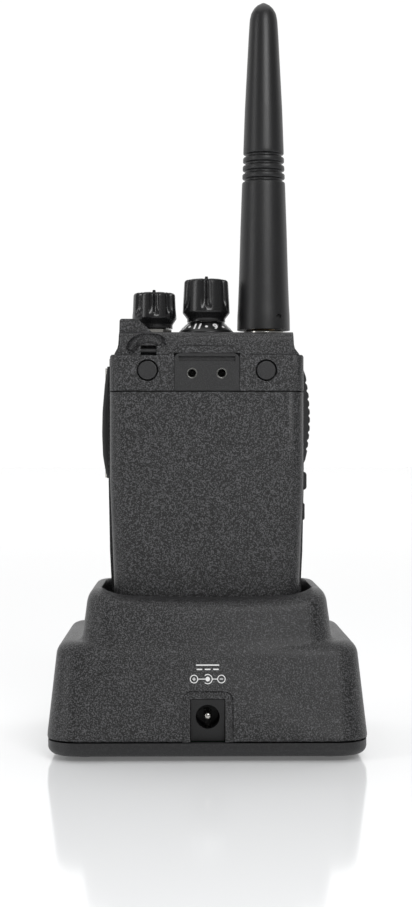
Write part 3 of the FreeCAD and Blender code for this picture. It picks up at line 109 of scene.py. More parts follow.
@dataclass(frozen=True)
class Finish:
    """A real material with its colour, gloss and surface relief.

    Lengths are in millimetres.
    """

    name: str
    colour: str
    light_colour: str
    roughness: float
    grain: Grain = Grain.SMOOTH
    grain_size: float = 0.35
    grain_depth: float = 0.03
    metallic: float = 0.0
    ior: float = 1.5
    coat: float = 0.0
    speckle: float = 0.5

    def build(self) -> bpy.types.Material:
        """Make the Blender material.

        Returns:
            The finished material.
        """
        material = bpy.data.materials.new(self.name)
        material.use_nodes = True
        tree = material.node_tree
        tree.nodes.clear()
        place = add_node(tree, "ShaderNodeTexCoord").outputs["Object"]
        # Handling and moulding leave slow changes in tone, a few centimetres across.
        tone = add_node(tree, "ShaderNodeTexNoise", None,
                        {"Vector": place, "Scale": 45.0, "Detail": 2.0}).outputs["Fac"]
        relief = self.relief(tree, place)
        share = add_node(tree, "ShaderNodeMath", {"operation": "MULTIPLY_ADD"},
                         {0: relief, 1: self.speckle, 2: 0.0})
        blend = add_node(tree, "ShaderNodeMath", {"operation": "MULTIPLY_ADD", "use_clamp": True},
                         {0: tone, 1: 1.0 - self.speckle, 2: share.outputs[0]})
        colour = add_node(tree, "ShaderNodeMix", {"data_type": "RGBA"},
                          {0: blend.outputs[0], 6: linear(self.colour),
                           7: linear(self.light_colour)})
        gloss = add_node(tree, "ShaderNodeMapRange", None,
                         {"Value": tone, "From Min": 0.3, "From Max": 0.7,
                          "To Min": self.roughness * 0.92, "To Max": self.roughness * 1.08})
        bump = add_node(tree, "ShaderNodeBump", None,
                        {"Height": relief, "Strength": 1.0, "Distance": self.grain_depth * MM})
        shader = add_node(tree, "ShaderNodeBsdfPrincipled", None,
                          {"Base Color": colour.outputs[2], "Roughness": gloss.outputs[0],
                           "Metallic": self.metallic, "IOR": self.ior,
                           "Coat Weight": self.coat, "Coat Roughness": 0.08,
                           "Normal": bump.outputs[0]})
        add_node(tree, "ShaderNodeOutputMaterial", None, {"Surface": shader.outputs[0]})
        return material

    def relief(self, tree: bpy.types.NodeTree, place: bpy.types.NodeSocket
               ) -> bpy.types.NodeSocket:
        """Add the nodes for the surface's fine relief.

        Args:
            tree: The material's tree.
            place: Object coordinates.

        Returns:
            A height from 0 to 1.
        """
        scale = 1.0 / (self.grain_size * MM)
        if self.grain is Grain.WOVEN:
            wave = add_node(tree, "ShaderNodeTexWave", {"bands_direction": "X"},
                            {"Vector": place, "Scale": scale / 6.0})
            weft = add_node(tree, "ShaderNodeTexWave", {"bands_direction": "Z"},
                            {"Vector": place, "Scale": scale / 6.0})
            return add_node(tree, "ShaderNodeMath", {"operation": "MULTIPLY"},
                            {0: wave.outputs["Fac"], 1: weft.outputs["Fac"]}).outputs[0]
        if self.grain is Grain.TURNED:
            rings = add_node(tree, "ShaderNodeTexWave", {"bands_direction": "Z"},
                             {"Vector": place, "Scale": scale / 6.0, "Distortion": 0.4})
            return rings.outputs["Fac"]
        detail = {Grain.SMOOTH: 1.0, Grain.FINE: 2.0, Grain.SPARK: 1.5}[self.grain]
        noise = add_node(tree, "ShaderNodeTexNoise", None,
                         {"Vector": place, "Scale": scale, "Detail": detail, "Roughness": 0.6})
        pushed = add_node(tree, "ShaderNodeMapRange", None,
                          {"Value": noise.outputs["Fac"], "From Min": 0.47, "From Max": 0.66})
        return pushed.outputs[0]


class Stock(Enum):
    """The finishes that this object is made in."""

    # Black ABS from a spark-eroded mould: matte, with a sparkle of fine grains.
    CASE = Finish("black spark-eroded ABS", "040404", "565658", 0.42, Grain.SPARK, 0.32, 0.044,
                  speckle=0.95)
    # The cradle's ABS has the same texture, a little coarser.
    CRADLE = Finish("black coarse-grained ABS", "040404", "565658", 0.43, Grain.SPARK, 0.35, 0.046,
                    speckle=0.95)
    # Smooth plates and caps: finer grain, slightly darker.
    PLATE = Finish("black fine-grained ABS", "121213", "333334", 0.42, Grain.FINE, 0.34, 0.016)
    # Polished polycarbonate knobs mirror the lamps.
    KNOB = Finish("polished black polycarbonate", "141415", "1e1e1f", 0.25, Grain.SMOOTH, 0.5,
                  0.002, speckle=0.2)
    # The dial is a shade darker than the case, so that its white marks stand out.
    DIAL = Finish("satin black dial acetal", "0a0a0b", "111112", 0.30, Grain.FINE, 0.3, 0.004)
    # Overmoulded antenna rubber has a soft sheen.
    ANTENNA = Finish("satin antenna rubber", "121213", "1d1d1e", 0.40, Grain.FINE, 0.35, 0.010)
    # Silicone keys and covers are dull, with no clear highlight.
    RUBBER = Finish("matte black silicone rubber", "151516", "242425", 0.56, Grain.FINE, 0.30,
                    0.016)
    # Feet are the dullest black on the object.
    FOOT = Finish("foot rubber", "1a1a1a", "2b2b2b", 0.7, Grain.FINE, 0.4, 0.02)
    # Plated steel gives small sharp glints where it shows.
    NICKEL = Finish("nickel-plated steel", "a9a7a2", "cfcdc8", 0.22, Grain.TURNED, 0.25, 0.004,
                    metallic=1.0)
    # Turned brass shows warm, with fine rings.
    BRASS = Finish("machined brass", "a5813f", "c9a868", 0.28, Grain.TURNED, 0.25, 0.004,
                   metallic=1.0)
    # Blackened steel shows only a thin gleam round a bore.
    BLACK_STEEL = Finish("blackened steel", "5c5c5a", "8c8c89", 0.34, Grain.TURNED, 0.25, 0.004,
                         metallic=1.0)
    # Gold plating shows as clean yellow spots.
    GOLD = Finish("gold-plated contact", "c79a3c", "e3c06a", 0.2, Grain.SMOOTH, metallic=1.0)
    # Solder mask is a glossy deep green.
    BOARD = Finish("green solder mask", "0f3d24", "1b5a38", 0.35, Grain.FINE, 0.5, 0.01)
    # Socket nylon is a plain near-black without sparkle.
    SOCKET = Finish("black socket nylon", "0d0d0e", "1a1a1b", 0.42, Grain.FINE, 0.35, 0.008)
    # The weave breaks up the light; it is drawn coarser than real, so that it shows.
    CLOTH = Finish("woven dust cloth", "0a0a0a", "1c1c1c", 0.8, Grain.WOVEN, 0.45, 0.06)
    # Shrink wrap is a smooth, fairly glossy blue.
    CELL = Finish("shrink-wrapped cell", "23405e", "2f5478", 0.35, Grain.SMOOTH)
    # A polished lens catches one bright highlight.
    LENS = Finish("red translucent lens", "5a0f0a", "8a1d14", 0.12, Grain.SMOOTH, coat=0.5)
    # Pad-print ink is flat white.
    PRINT = Finish("white pad-print ink", "ececec", "f6f6f6", 0.55, Grain.FINE, 0.3, 0.004)


class Palette:
    """Builds each finish once and hands it out."""

    def __init__(self) -> None:
        """Start with nothing built."""
        self._made: dict[Stock, bpy.types.Material] = {}

    def get(self, stock: Stock) -> bpy.types.Material:
        """Return the material of a finish, made on first use.

        Args:
            stock: The finish.

        Returns:
            Its material.
        """
        if stock not in self._made:
            self._made[stock] = stock.value.build()
        return self._made[stock]


# ---------------------------------------------------------------- mesh helpers

def mesh_object(name: str, points: Sequence[Point], faces: Sequence[Sequence[int]],
                sharp: float = 35.0) -> bpy.types.Object:
    """Make an object whose mesh is merged and turned outwards.

    Args:
        name: The piece's name.
        points: Vertex places in metres.
        faces: Vertex indices of each face.
        sharp: Edges that bend more than this many degrees stay crisp.

    Returns:
        The new object, linked into the scene.
    """
    mesh = bpy.data.meshes.new(name)
    mesh.from_pydata(points, [], faces)
    piece = bpy.data.objects.new(name, mesh)
    bpy.context.scene.collection.objects.link(piece)
    tidy(piece, sharp)
    return piece


def tidy(piece: bpy.types.Object, sharp: float = 35.0) -> None:
    """Merge doubles, turn faces outwards and shade smooth between crisp edges.

    Args:
        piece: The mesh object.
        sharp: Edges that bend more than this many degrees stay crisp.
    """
    work = bmesh.new()
    work.from_mesh(piece.data)
    bmesh.ops.remove_doubles(work, verts=work.verts, dist=1e-6)
    bmesh.ops.dissolve_degenerate(work, edges=work.edges, dist=1e-7)
    bmesh.ops.recalc_face_normals(work, faces=work.faces)
    limit = math.radians(sharp)
    for face in work.faces:
        face.smooth = True
    for edge in work.edges:
        edge.smooth = len(edge.link_faces) == 2 and edge.calc_face_angle(0.0) < limit
    work.to_mesh(piece.data)
    work.free()


def bake_modifiers(piece: bpy.types.Object) -> bpy.types.Object:
    """Turn what a piece's modifiers make into its plain mesh.

    Args:
        piece: The mesh object.

    Returns:
        The same object.
    """
    graph = bpy.context.evaluated_depsgraph_get()
    finished = bpy.data.meshes.new_from_object(piece.evaluated_get(graph))
    piece.modifiers.clear()
    piece.data = finished
    return piece


def loft(name: str, rings: Sequence[Sequence[Point]], closed_ends: bool = True,
         sharp: float = 35.0) -> bpy.types.Object:
    """Skin a row of equal rings.

    Args:
        name: The piece's name.
        rings: Rings of points, all with the same count.
        closed_ends: Whether the first and last ring are filled.
        sharp: Crisp edge angle in degrees.

    Returns:
        The skinned object.
    """
    count = len(rings[0])
    points = [p for ring in rings for p in ring]
    faces: list[list[int]] = []
    for r in range(len(rings) - 1):
        for i in range(count):
            j = (i + 1) % count
            faces.append([r * count + i, r * count + j, (r + 1) * count + j, (r + 1) * count + i])
    if closed_ends:
        faces.append(list(range(count))[::-1])
        faces.append([(len(rings) - 1) * count + i for i in range(count)])
    return mesh_object(name, points, faces, sharp)


def lathe(name: str, centre: tuple[float, float], profile: Sequence[tuple[float, float]],
          segments: int = 96, depth: Callable[[float, float], float] | None = None,
          sharp: float = 35.0) -> bpy.types.Object:
    """Turn a profile of (radius, height) points about a vertical axis.

    Args:
        name: The piece's name.
        centre: The axis's x and y in millimetres.
        profile: Radii and heights in millimetres, from one end to the other.
        segments: Steps round the axis.
        depth: What to take off the radius at an angle and a height.
        sharp: Crisp edge angle in degrees.

    Returns:
        The turned object.
    """
    rings = []
    for radius, height in profile:
        ring = []
        for i in range(segments):
            angle = math.tau * i / segments
            reach = radius - (depth(angle, height) if depth else 0.0)
            ring.append(((centre[0] + reach * math.cos(angle)) * MM,
                         (centre[1] + reach * math.sin(angle)) * MM, height * MM))
        rings.append(ring)
    return loft(name, rings, True, sharp)


def cut_with(piece: bpy.types.Object, cutter: bpy.types.Object,
             operation: str = "DIFFERENCE") -> None:
    """Apply a boolean with a cutter and throw the cutter away.

    Args:
        piece: The object that changes.
        cutter: The object that is used up.
        operation: DIFFERENCE or UNION.
    """
    modifier = piece.modifiers.new("Cut", "BOOLEAN")
    modifier.operation = operation
    modifier.solver = "EXACT"
    modifier.object = cutter
    bake_modifiers(piece)
    bpy.data.objects.remove(cutter, do_unlink=True)


def rounded_ring(half_x: float, front: float, rear: float, corner: float, level: float,
                 bow: float = 0.0, steps: int = 8) -> list[Point]:
    """A rounded rectangle's ring of points, in metres.

    Args:
        half_x: Half its width in millimetres.
        front: Its lowest y.
        rear: Its highest y at the corners.
        corner: The corners' radius.
        level: Its height.
        bow: How far the rear's middle stands out past its ends.
        steps: Steps in each corner.

    Returns:
        The ring, counter-clockwise from the rear's +X corner.
    """
    centres = ((half_x - corner, rear - corner, 0), (corner - half_x, rear - corner, 90),
               (corner - half_x, front + corner, 180), (half_x - corner, front + corner, 270))
    flat: list[tuple[float, float]] = []
    for index, (x, y, start) in enumerate(centres):
        for step in range(steps + 1):
            angle = math.radians(start + 90 * step / steps)
            flat.append((x + corner * math.cos(angle), y + corner * math.sin(angle)))
        following = centres[(index + 1) % 4]
        run = 24
        last = flat[-1]
        turn = math.radians(following[2])
        goal = (following[0] + corner * math.cos(turn), following[1] + corner * math.sin(turn))
        for step in range(1, run):
            share = step / run
            flat.append((last[0] + (goal[0] - last[0]) * share,
                         last[1] + (goal[1] - last[1]) * share))
    ring: list[Point] = []
    for x, y in flat:
        across = max(0.0, 1.0 - (x / half_x) ** 2)
        behind = max(0.0, min(1.0, (y - rear + corner + 2.0) / (corner + 2.0)))
        ring.append((x * MM, (y + bow * across * behind) * MM, level * MM))
    return ring


def block(name: str, low: Point, high: Point) -> bpy.types.Object:
    """A plain box between two corners in millimetres, used as a cutter.

    Args:
        name: The object's name.
        low: The lowest corner.
        high: The highest corner.

    Returns:
        The box.
    """
    ring = [(low[0], low[1]), (high[0], low[1]), (high[0], high[1]), (low[0], high[1])]
    return loft(name, [[(x * MM, y * MM, z * MM) for x, y in ring] for z in (low[2], high[2])])


def finish_piece(piece: bpy.types.Object, palette: Palette, stock: Stock, body: str,
                 stands_for: Iterable[str] = ()) -> bpy.types.Object:
    """Dress a piece, fasten it to its body and hide the CAD nodes that it replaces.

    Args:
        piece: The finished mesh.
        palette: Where finishes come from.
        stock: Its finish.
        body: The body that it rides on.
        stands_for: CAD nodes that it replaces.

    Returns:
        The same object.
    """
    piece.data.materials.clear()
    piece.data.materials.append(palette.get(stock))
    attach(piece, body)
    names = list(stands_for)
    if names:
        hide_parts(*names)
    LOG.info("%s: %d faces, %s", piece.name, len(piece.data.polygons), stock.value.name)
    return piece


# ---------------------------------------------------------------- repeats made by Geometry Nodes

def ring_tree(name: str, material: bpy.types.Material) -> bpy.types.GeometryNodeTree:
    """A tree that repeats the piece it is put on round a ring about Z.

    Args:
        name: The tree's name.
        material: Set on the result.

    Returns:
        A tree with the inputs Count and Radius, in scene units.
    """
    tree = bpy.data.node_groups.new(name, "GeometryNodeTree")
    face = tree.interface
    face.new_socket("Geometry", in_out="INPUT", socket_type="NodeSocketGeometry")
    face.new_socket("Count", in_out="INPUT", socket_type="NodeSocketInt")
    face.new_socket("Radius", in_out="INPUT", socket_type="NodeSocketFloat")
    face.new_socket("Geometry", in_out="OUTPUT", socket_type="NodeSocketGeometry")
    given = add_node(tree, "NodeGroupInput")
    layout = add_node(tree, "GeometryNodeMeshCircle", None,
                      {"Vertices": given.outputs["Count"], "Radius": given.outputs["Radius"]})
    index = add_node(tree, "GeometryNodeInputIndex")
    share = add_node(tree, "ShaderNodeMath", {"operation": "DIVIDE"},
                     {0: index.outputs[0], 1: given.outputs["Count"]})
    angle = add_node(tree, "ShaderNodeMath", {"operation": "MULTIPLY"},
                     {0: share.outputs[0], 1: math.tau})
    turned = add_node(tree, "ShaderNodeCombineXYZ", None, {"Z": angle.outputs[0]})
    copies = add_node(tree, "GeometryNodeInstanceOnPoints", None,
                      {"Points": layout.outputs[0], "Instance": given.outputs["Geometry"],
                       "Rotation": turned.outputs[0]})
    real = add_node(tree, "GeometryNodeRealizeInstances", None, {"Geometry": copies.outputs[0]})
    painted = add_node(tree, "GeometryNodeSetMaterial", None,
                       {"Geometry": real.outputs[0], "Material": material})
    add_node(tree, "NodeGroupOutput", None, {0: painted.outputs[0]})
    return tree


def repeat_round(piece: bpy.types.Object, material: bpy.types.Material, count: int,
                 radius: float, level: float) -> bpy.types.Object:
    """Repeat a small piece, drawn at the origin facing +X, round a ring about Z.

    Args:
        piece: The piece to repeat; it becomes the whole ring.
        material: Its material.
        count: How many.
        radius: The ring's radius in millimetres.
        level: The ring's height in millimetres.

    Returns:
        The piece, now a plain mesh.
    """
    tree = ring_tree(piece.name + " ring", material)
    modifier = piece.modifiers.new("Repeat", "NODES")
    modifier.node_group = tree
    values = {"Count": count, "Radius": radius * MM}
    for item in tree.interface.items_tree:
        if item.item_type == "SOCKET" and item.in_out == "INPUT" and item.name in values:
            modifier[item.identifier] = values[item.name]
    bake_modifiers(piece)
    piece.data.transform(Matrix.Translation((0.0, 0.0, level * MM)))
    return piece


# ---------------------------------------------------------------- cradle

@dataclass
class Cradle:
    """The desktop charging cradle's moulded shell and its print. Millimetres."""

    palette: Palette
    shoulder_level: float = 31.0
    top_level: float = 44.7
    edge: float = 3.1
    rim_edge: float = 3.3
    fillet: float = 1.3
    slope: float = 2.7
    rear_run: float = 8.4
    bow: float = 2.4
    rim_dip: float = 2.4
    pocket_half: float = 29.3
    pocket_front: float = -15.2
    pocket_rear: float = 21.2
    pocket_floor: float = 8.2
    jack_half: float = 4.5
    jack_floor: float = 5.2
    jack_height: float = 11.0
    frame_margin: float = 2.3
    frame_sunk: float = 0.75
    voxel: float = 0.62
    lens_level: float = 16.0
    skin: bpy.types.Object | None = field(default=None, repr=False)

    def __post_init__(self) -> None:
        """Read the outer sizes from the frame."""
        low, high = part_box("cradle_shell")
        self.half_x = high.x / MM
        self.half_y = high.y / MM
        self.foot = low.z / MM

    def lower_rings(self) -> list[list[Point]]:
        """The wide lower block with its round shoulder.

        Returns:
            Its rings, from the foot up.
        """
        rings = []
        top = self.shoulder_level
        for share in (0.0, 0.1, 0.25, 0.5, 0.75, 1.0):
            level = self.foot + (top - self.edge - self.foot) * share
            rings.append(self.lower_ring(level, 0.0))
        for degrees in (15, 30, 45, 60, 75, 90):
            angle = math.radians(degrees)
            rings.append(self.lower_ring(top - self.edge * (1 - math.sin(angle)),
                                         self.edge * (1 - math.cos(angle))))
        return rings

    def lower_ring(self, level: float, inset: float) -> list[Point]:
        """One ring of the lower block.

        Args:
            level: Its height.
            inset: How far it is drawn in.

        Returns:
            The ring.
        """
        share = (level - self.foot) / (self.shoulder_level - self.foot)
        bow = self.bow * 0.5 * math.sqrt(share)
        rear = self.half_y - 0.1 - 5.8 * share - bow - inset
        front = -self.half_y + 6.6 * share + inset
        return rounded_ring(self.half_x - self.slope * share - inset, front, rear,
                            9.0 - 3.0 * share, level, bow=bow)

    def rear_face(self, level: float) -> float:
        """The y of the rear face's middle, a shallow S from the seam to the rim.

        Args:
            level: The height.

        Returns:
            The y, in millimetres.
        """
        share = (level - self.foot) / (self.top_level - self.foot)
        sweep = 0.5 - 0.5 * math.cos(math.pi * min(1.0, share * 1.06))
        return self.half_y - 0.1 - self.rear_run * (0.6 * share + 0.4 * sweep)

    def collar_ring(self, level: float, inset: float, flare: float = 0.0) -> list[Point]:
        """One ring of the collar, with its bowed and sloping rear face.

        Args:
            level: Its height.
            inset: How far it is drawn in.
            flare: How far it spreads at the ledge.

        Returns:
            The ring.
        """
        share = (level - self.foot) / (self.top_level - self.foot)
        bow = self.bow * min(1.0, 2.5 * share)
        half = 37.5 - 5.0 * share - 0.65 * inset + flare
        front = -33.0 + 13.0 * share + inset - flare
        return rounded_ring(half, front, self.rear_face(level) - bow - 1.15 * inset, 7.0 + flare,
                            level, bow=bow)

    def collar_rings(self) -> list[list[Point]]:
        """The collar, flared where it grows out of the shoulder, with a round rim.

        Returns:
            Its rings, from the foot up.
        """
        ledge = self.shoulder_level - 0.5
        rings = [self.collar_ring(self.foot + rise, 0.0) for rise in (0.0, 4.0, 9.0, 14.0, 20.0)]
        rings.append(self.collar_ring(ledge, 0.0))
        for degrees in (0, 30, 60, 90):
            angle = math.radians(degrees)
            rings.append(self.collar_ring(
                ledge + 0.1 + (self.fillet + 0.3) * (1 - math.cos(angle)), 0.0,
                self.fillet * (1 - math.sin(angle))))
        rings.append(self.collar_ring(self.top_level - self.rim_edge, 0.0))
        for degrees in (15, 30, 45, 60, 75, 90):
            angle = math.radians(degrees)
            rings.append(self.collar_ring(
                self.top_level - self.rim_edge * (1 - math.sin(angle)),
                self.rim_edge * (1 - math.cos(angle))))
        return rings

    def lower_rim(self, skin: bpy.types.Object) -> None:
        """Drop the middle of the rear rim in a shallow arc.

        Args:
            skin: The shell to bend.
        """
        for vertex in skin.data.vertices:
            x, y, z = (value / MM for value in vertex.co)
            across = min(1.0, abs(x) / (self.pocket_half - 0.5))
            arc = 0.75 * (1 - across ** 8) + 0.25 * (1 - across ** 2)
            behind = max(0.0, min(1.0, (y - 8.0) / 10.0))
            up = max(0.0, min(1.0, (z - 30.0) / (self.top_level - 30.0)))
            vertex.co.z -= self.rim_dip * arc * behind * up * MM

    def build_skin(self) -> bpy.types.Object:
        """Model the moulded shell as one soft closed form with its pocket and jack frame.

        Returns:
            The finished shell.
        """
        skin = loft("cradle_shell_moulding", self.lower_rings())
        cut_with(skin, loft("collar", self.collar_rings()), "UNION")
        pocket = [rounded_ring(self.pocket_half - 1.6 + 1.6 * share, self.pocket_front,
                               self.pocket_rear, 5.0,
                               self.pocket_floor + (self.top_level + 4 - self.pocket_floor) * share)
                  for share in (0.0, 1.0)]
        cut_with(skin, loft("pocket", pocket))
        cut_with(skin, block("underside room", (-38, -34, self.foot - 1), (38, 33, 6.4)))
        cut_with(skin, block("rear room", (-24, 23.2, self.foot - 1), (24, 32.0, 26)))
        remesh = skin.modifiers.new("Remesh", "REMESH")
        remesh.mode = "VOXEL"
        remesh.voxel_size = self.voxel * MM
        soften = skin.modifiers.new("Soften", "SMOOTH")
        soften.factor = 0.5
        soften.iterations = 5
        bake_modifiers(skin)
        self.lower_rim(skin)
        self.cut_openings(skin)
        tidy(skin, 50.0)
        self.skin = skin
        return finish_piece(skin, self.palette, Stock.CRADLE, "cradle",
                            ["cradle_shell"])

    def cut_openings(self, skin: bpy.types.Object) -> None:
        """Cut the crisp openings: the jack's frame, the jack's hole, the lens and the pins.

        Args:
            skin: The shell to cut.
        """
        top = self.jack_floor + self.jack_height
        margin = self.frame_margin
        outline = []
        half = self.jack_half + margin
        corner = 2.4
        for x, start in ((half - corner, 0), (corner - half, 90)):
            for step in range(7):
                angle = math.radians(start + 15 * step)
                outline.append((x + corner * math.cos(angle),
                                top + margin - corner + corner * math.sin(angle)))
        outline += [(-half, self.foot - 1), (half, self.foot - 1)]
        rings = [[(x * MM, (self.rear_face(z) - self.frame_sunk + out) * MM, z * MM)
                  for x, z in outline] for out in (0.0, 6.0)]
        cut_with(skin, loft("jack frame", rings))
        gap = 0.16
        cut_with(skin, block("jack hole", (-self.jack_half - gap, 23.0, self.foot - 1),
                             (self.jack_half + gap, self.half_y + 2, top + gap)))
        lens = lathe("lens hole", (0, 0), [(2.05, 0), (2.05, 8)], 48)
        lens.data.transform(Matrix.Translation((0, -self.half_y * MM - 0.001,
                                                self.lens_level * MM))
                            @ Matrix.Rotation(math.radians(-90), 4, "X"))
        cut_with(skin, lens)
        cut_with(skin, block("pin hole", (-7, 10, 5.5), (7, 16, 9.5)))

    def build_print(self) -> bpy.types.Object:
        """Print the signs for direct current and the plug's polarity above the jack.

        Returns:
            The finished print.
        """
        parts = [self.bar(-3.1, 3.1, 25.2, 25.2, 0.32)]
        for x in (-2.2, 0.0, 2.2):
            parts.append(self.bar(x - 0.75, x + 0.75, 24.1, 24.1, 0.32))
        level = 21.6
        for x, radius, gap in ((3.65, 1.0, 0), (0.0, 1.2, 100), (-3.65, 1.0, 0)):
            parts.append(self.arc(x, level, radius, 0.22, gap))
        parts.append(self.bar(2.65, 0.0, level, level, 0.22))
        parts.append(self.bar(-1.2, -2.65, level, level, 0.22))
        parts.append(self.arc(0.0, level, 0.30, 0.6, 0))
        parts.append(self.bar(4.1, 3.2, level, level, 0.2))
        parts.append(self.bar(3.65, 3.65, level - 0.45, level + 0.45, 0.2))
        parts.append(self.bar(-4.1, -3.2, level, level, 0.2))
        marks = join("cradle_print", parts)
        self.lay_on_skin(marks)
        return finish_piece(marks, self.palette, Stock.PRINT, "cradle")

    @staticmethod
    def arc(x: float, z: float, radius: float, width: float, gap: float) -> bpy.types.Object:
        """A flat ring about (x, z), open by a gap in degrees towards +X.

        Args:
            x: The middle's x.
            z: The middle's z.
            radius: The stroke's middle radius.
            width: The stroke's width.
            gap: The gap in degrees.

        Returns:
            The ring.
        """
        inner, outer = max(0.0, radius - width / 2), radius + width / 2
        steps = 28
        points, faces = [], []
        for step in range(steps + 1):
            angle = math.radians(gap / 2 + (360 - gap) * step / steps)
            for reach in (inner, outer):
                points.append(((x + reach * math.cos(angle)) * MM, 0.0,
                               (z + reach * math.sin(angle)) * MM))
        for step in range(steps):
            faces.append([2 * step, 2 * step + 1, 2 * step + 3, 2 * step + 2])
        return mesh_object("print ring", points, faces)

    @staticmethod
    def bar(x0: float, x1: float, z0: float, z1: float, width: float) -> bpy.types.Object:
        """A flat bar between two points that lie level or upright with each other.

        Args:
            x0: The first point's x.
            x1: The second point's x.
            z0: The first point's z.
            z1: The second point's z.
            width: The stroke's width.

        Returns:
            The bar.
        """
        grow_x = width / 2 if x0 == x1 else 0.0
        grow_z = width / 2 if z0 == z1 else 0.0
        low_x, high_x = min(x0, x1) - grow_x, max(x0, x1) + grow_x
        low_z, high_z = min(z0, z1) - grow_z, max(z0, z1) + grow_z
        points = [(low_x * MM, 0.0, low_z * MM), (high_x * MM, 0.0, low_z * MM),
                  (high_x * MM, 0.0, high_z * MM), (low_x * MM, 0.0, high_z * MM)]
        return mesh_object("print bar", points, [[0, 1, 2, 3]])

    def lay_on_skin(self, marks: bpy.types.Object) -> None:
        """Lay flat marks on the shell's rear face, a hair proud of it, as thin ink.

        Args:
            marks: The flat marks.
        """
        graph = bpy.context.evaluated_depsgraph_get()
        tree = BVHTree.FromObject(self.skin, graph)
        for vertex in marks.data.vertices:
            hit = tree.ray_cast(Vector((vertex.co.x, 0.1, vertex.co.z)), Vector((0, -1, 0)))[0]
            if hit is not None:
                vertex.co.y = hit.y + 0.00004
        ink = marks.modifiers.new("Ink", "SOLIDIFY")
        ink.thickness = 0.00005
        ink.offset = 0.0
        bake_modifiers(marks)
        tidy(marks, 60.0)

    def build(self) -> None:
        """Build the cradle's own pieces."""
        self.build_skin()
        self.build_print()


def text_mesh(name: str, words: str, size: float, boldness: float) -> bpy.types.Object:
    """Flat lettering in the XZ plane that reads from +Y, centred on the origin.

    Args:
        name: The object's name.
        words: What it says.
        size: The lettering's size in millimetres.
        boldness: How much the strokes are thickened, in hundredths of the size.

    Returns:
        The lettering as a mesh object.
    """
    curve = bpy.data.curves.new(name, "FONT")
    curve.body = words
    curve.size = size * MM
    curve.align_x = "CENTER"
    curve.align_y = "CENTER"
    curve.offset = boldness * 0.01 * size * MM * 12
    curve.resolution_u = 3
    holder = bpy.data.objects.new(name, curve)
    bpy.context.scene.collection.objects.link(holder)
    bpy.context.view_layer.update()
    graph = bpy.context.evaluated_depsgraph_get()
    mesh = bpy.data.meshes.new_from_object(holder.evaluated_get(graph))
    bpy.data.objects.remove(holder, do_unlink=True)
    mesh.transform(Matrix.Rotation(math.radians(180), 4, "Z") @ Matrix.Rotation(
        math.radians(90), 4, "X"))
    piece = bpy.data.objects.new(name, mesh)
    bpy.context.scene.collection.objects.link(piece)
    return piece


def join(name: str, parts: Sequence[bpy.types.Object]) -> bpy.types.Object:
    """Join mesh objects that sit at the origin into one new piece.

    Args:
        name: The new piece's name.
        parts: The objects, which are used up.

    Returns:
        The new piece.
    """
    work = bmesh.new()
    for part in parts:
        work.from_mesh(part.data)
        bpy.data.objects.remove(part, do_unlink=True)
    mesh = bpy.data.meshes.new(name)
    work.to_mesh(mesh)
    work.free()
    piece = bpy.data.objects.new(name, mesh)
    bpy.context.scene.collection.objects.link(piece)
    return piece


# ---------------------------------------------------------------- antenna

@dataclass
class Antenna:
    """The screw-in rubber antenna. Millimetres."""

    palette: Palette
    centre: tuple[float, float] = (-16.4, 4.0)
    foot: float = 116.9
    grooves: tuple[float, ...] = (159.6, 161.95, 164.3, 166.65)
    groove_half: float = 0.42
    groove_depth: float = 0.75

    def radius(self, level: float) -> float:
        """The sleeve's radius at a height, before grooves.

        Args:
            level: The height.

        Returns:
            The radius, in millimetres.
        """
        stations = ((116.9, 7.55), (121.0, 7.48), (124.0, 7.3), (132.0, 7.0), (146.0, 6.6),
                    (158.0, 6.18), (168.0, 5.78), (180.0, 5.35), (192.0, 4.72), (201.0, 4.25),
                    (205.5, 3.95), (207.4, 3.55), (208.8, 2.75), (209.8, 1.7), (210.3, 0.9))
        for (low, a), (high, b) in zip(stations, stations[1:]):
            if level <= high:
                return a + (b - a) * (level - low) / (high - low)
        return stations[-1][1]

    def build_sleeve(self) -> bpy.types.Object:
        """Turn the sleeve with its four flexing grooves and a round tip.

        Returns:
            The finished sleeve.
        """
        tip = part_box("antenna_sleeve")[1].z / MM
        levels = {self.foot, self.foot + 0.35}
        step = self.foot + 0.8
        while step < tip - 0.3:
            levels.add(round(step, 3))
            step += 0.8
        for groove in self.grooves:
            for share in (-1.7, -1.25, -1.0, -0.75, -0.35, 0.0, 0.35, 0.75, 1.0, 1.25, 1.7):
                levels.add(round(groove + share * self.groove_half, 3))
        profile = [(5.2, self.foot + 3.0), (5.2, self.foot), (7.3, self.foot)]
        for level in sorted(levels):
            drop = 0.0
            for groove in self.grooves:
                away = abs(level - groove) / self.groove_half
                drop += self.groove_depth / (1.0 + away ** 6)
            profile.append((self.radius(level) - drop, level))
        profile += [(0.55, tip - 0.08), (0.0001, tip)]
        sleeve = lathe("antenna_sleeve_rubber", self.centre, profile, 96, sharp=50.0)
        dimple = lathe("dimple", (0, 0), [(0.7, 0), (0.7, 2.4)], 24)
        dimple.data.transform(Matrix.Translation(((self.centre[0] - 4.0) * MM,
                                                  (self.centre[1] + 4.6) * MM, 120.5 * MM))
                              @ Matrix.Rotation(math.radians(-90), 4, "X"))
        cut_with(sleeve, dimple)
        tidy(sleeve, 50.0)
        return finish_piece(sleeve, self.palette, Stock.ANTENNA, "antenna",
                            ["antenna_sleeve"])

    def build(self) -> None:
        """Build the antenna's own pieces."""
        self.build_sleeve()


# ---------------------------------------------------------------- knobs and dial

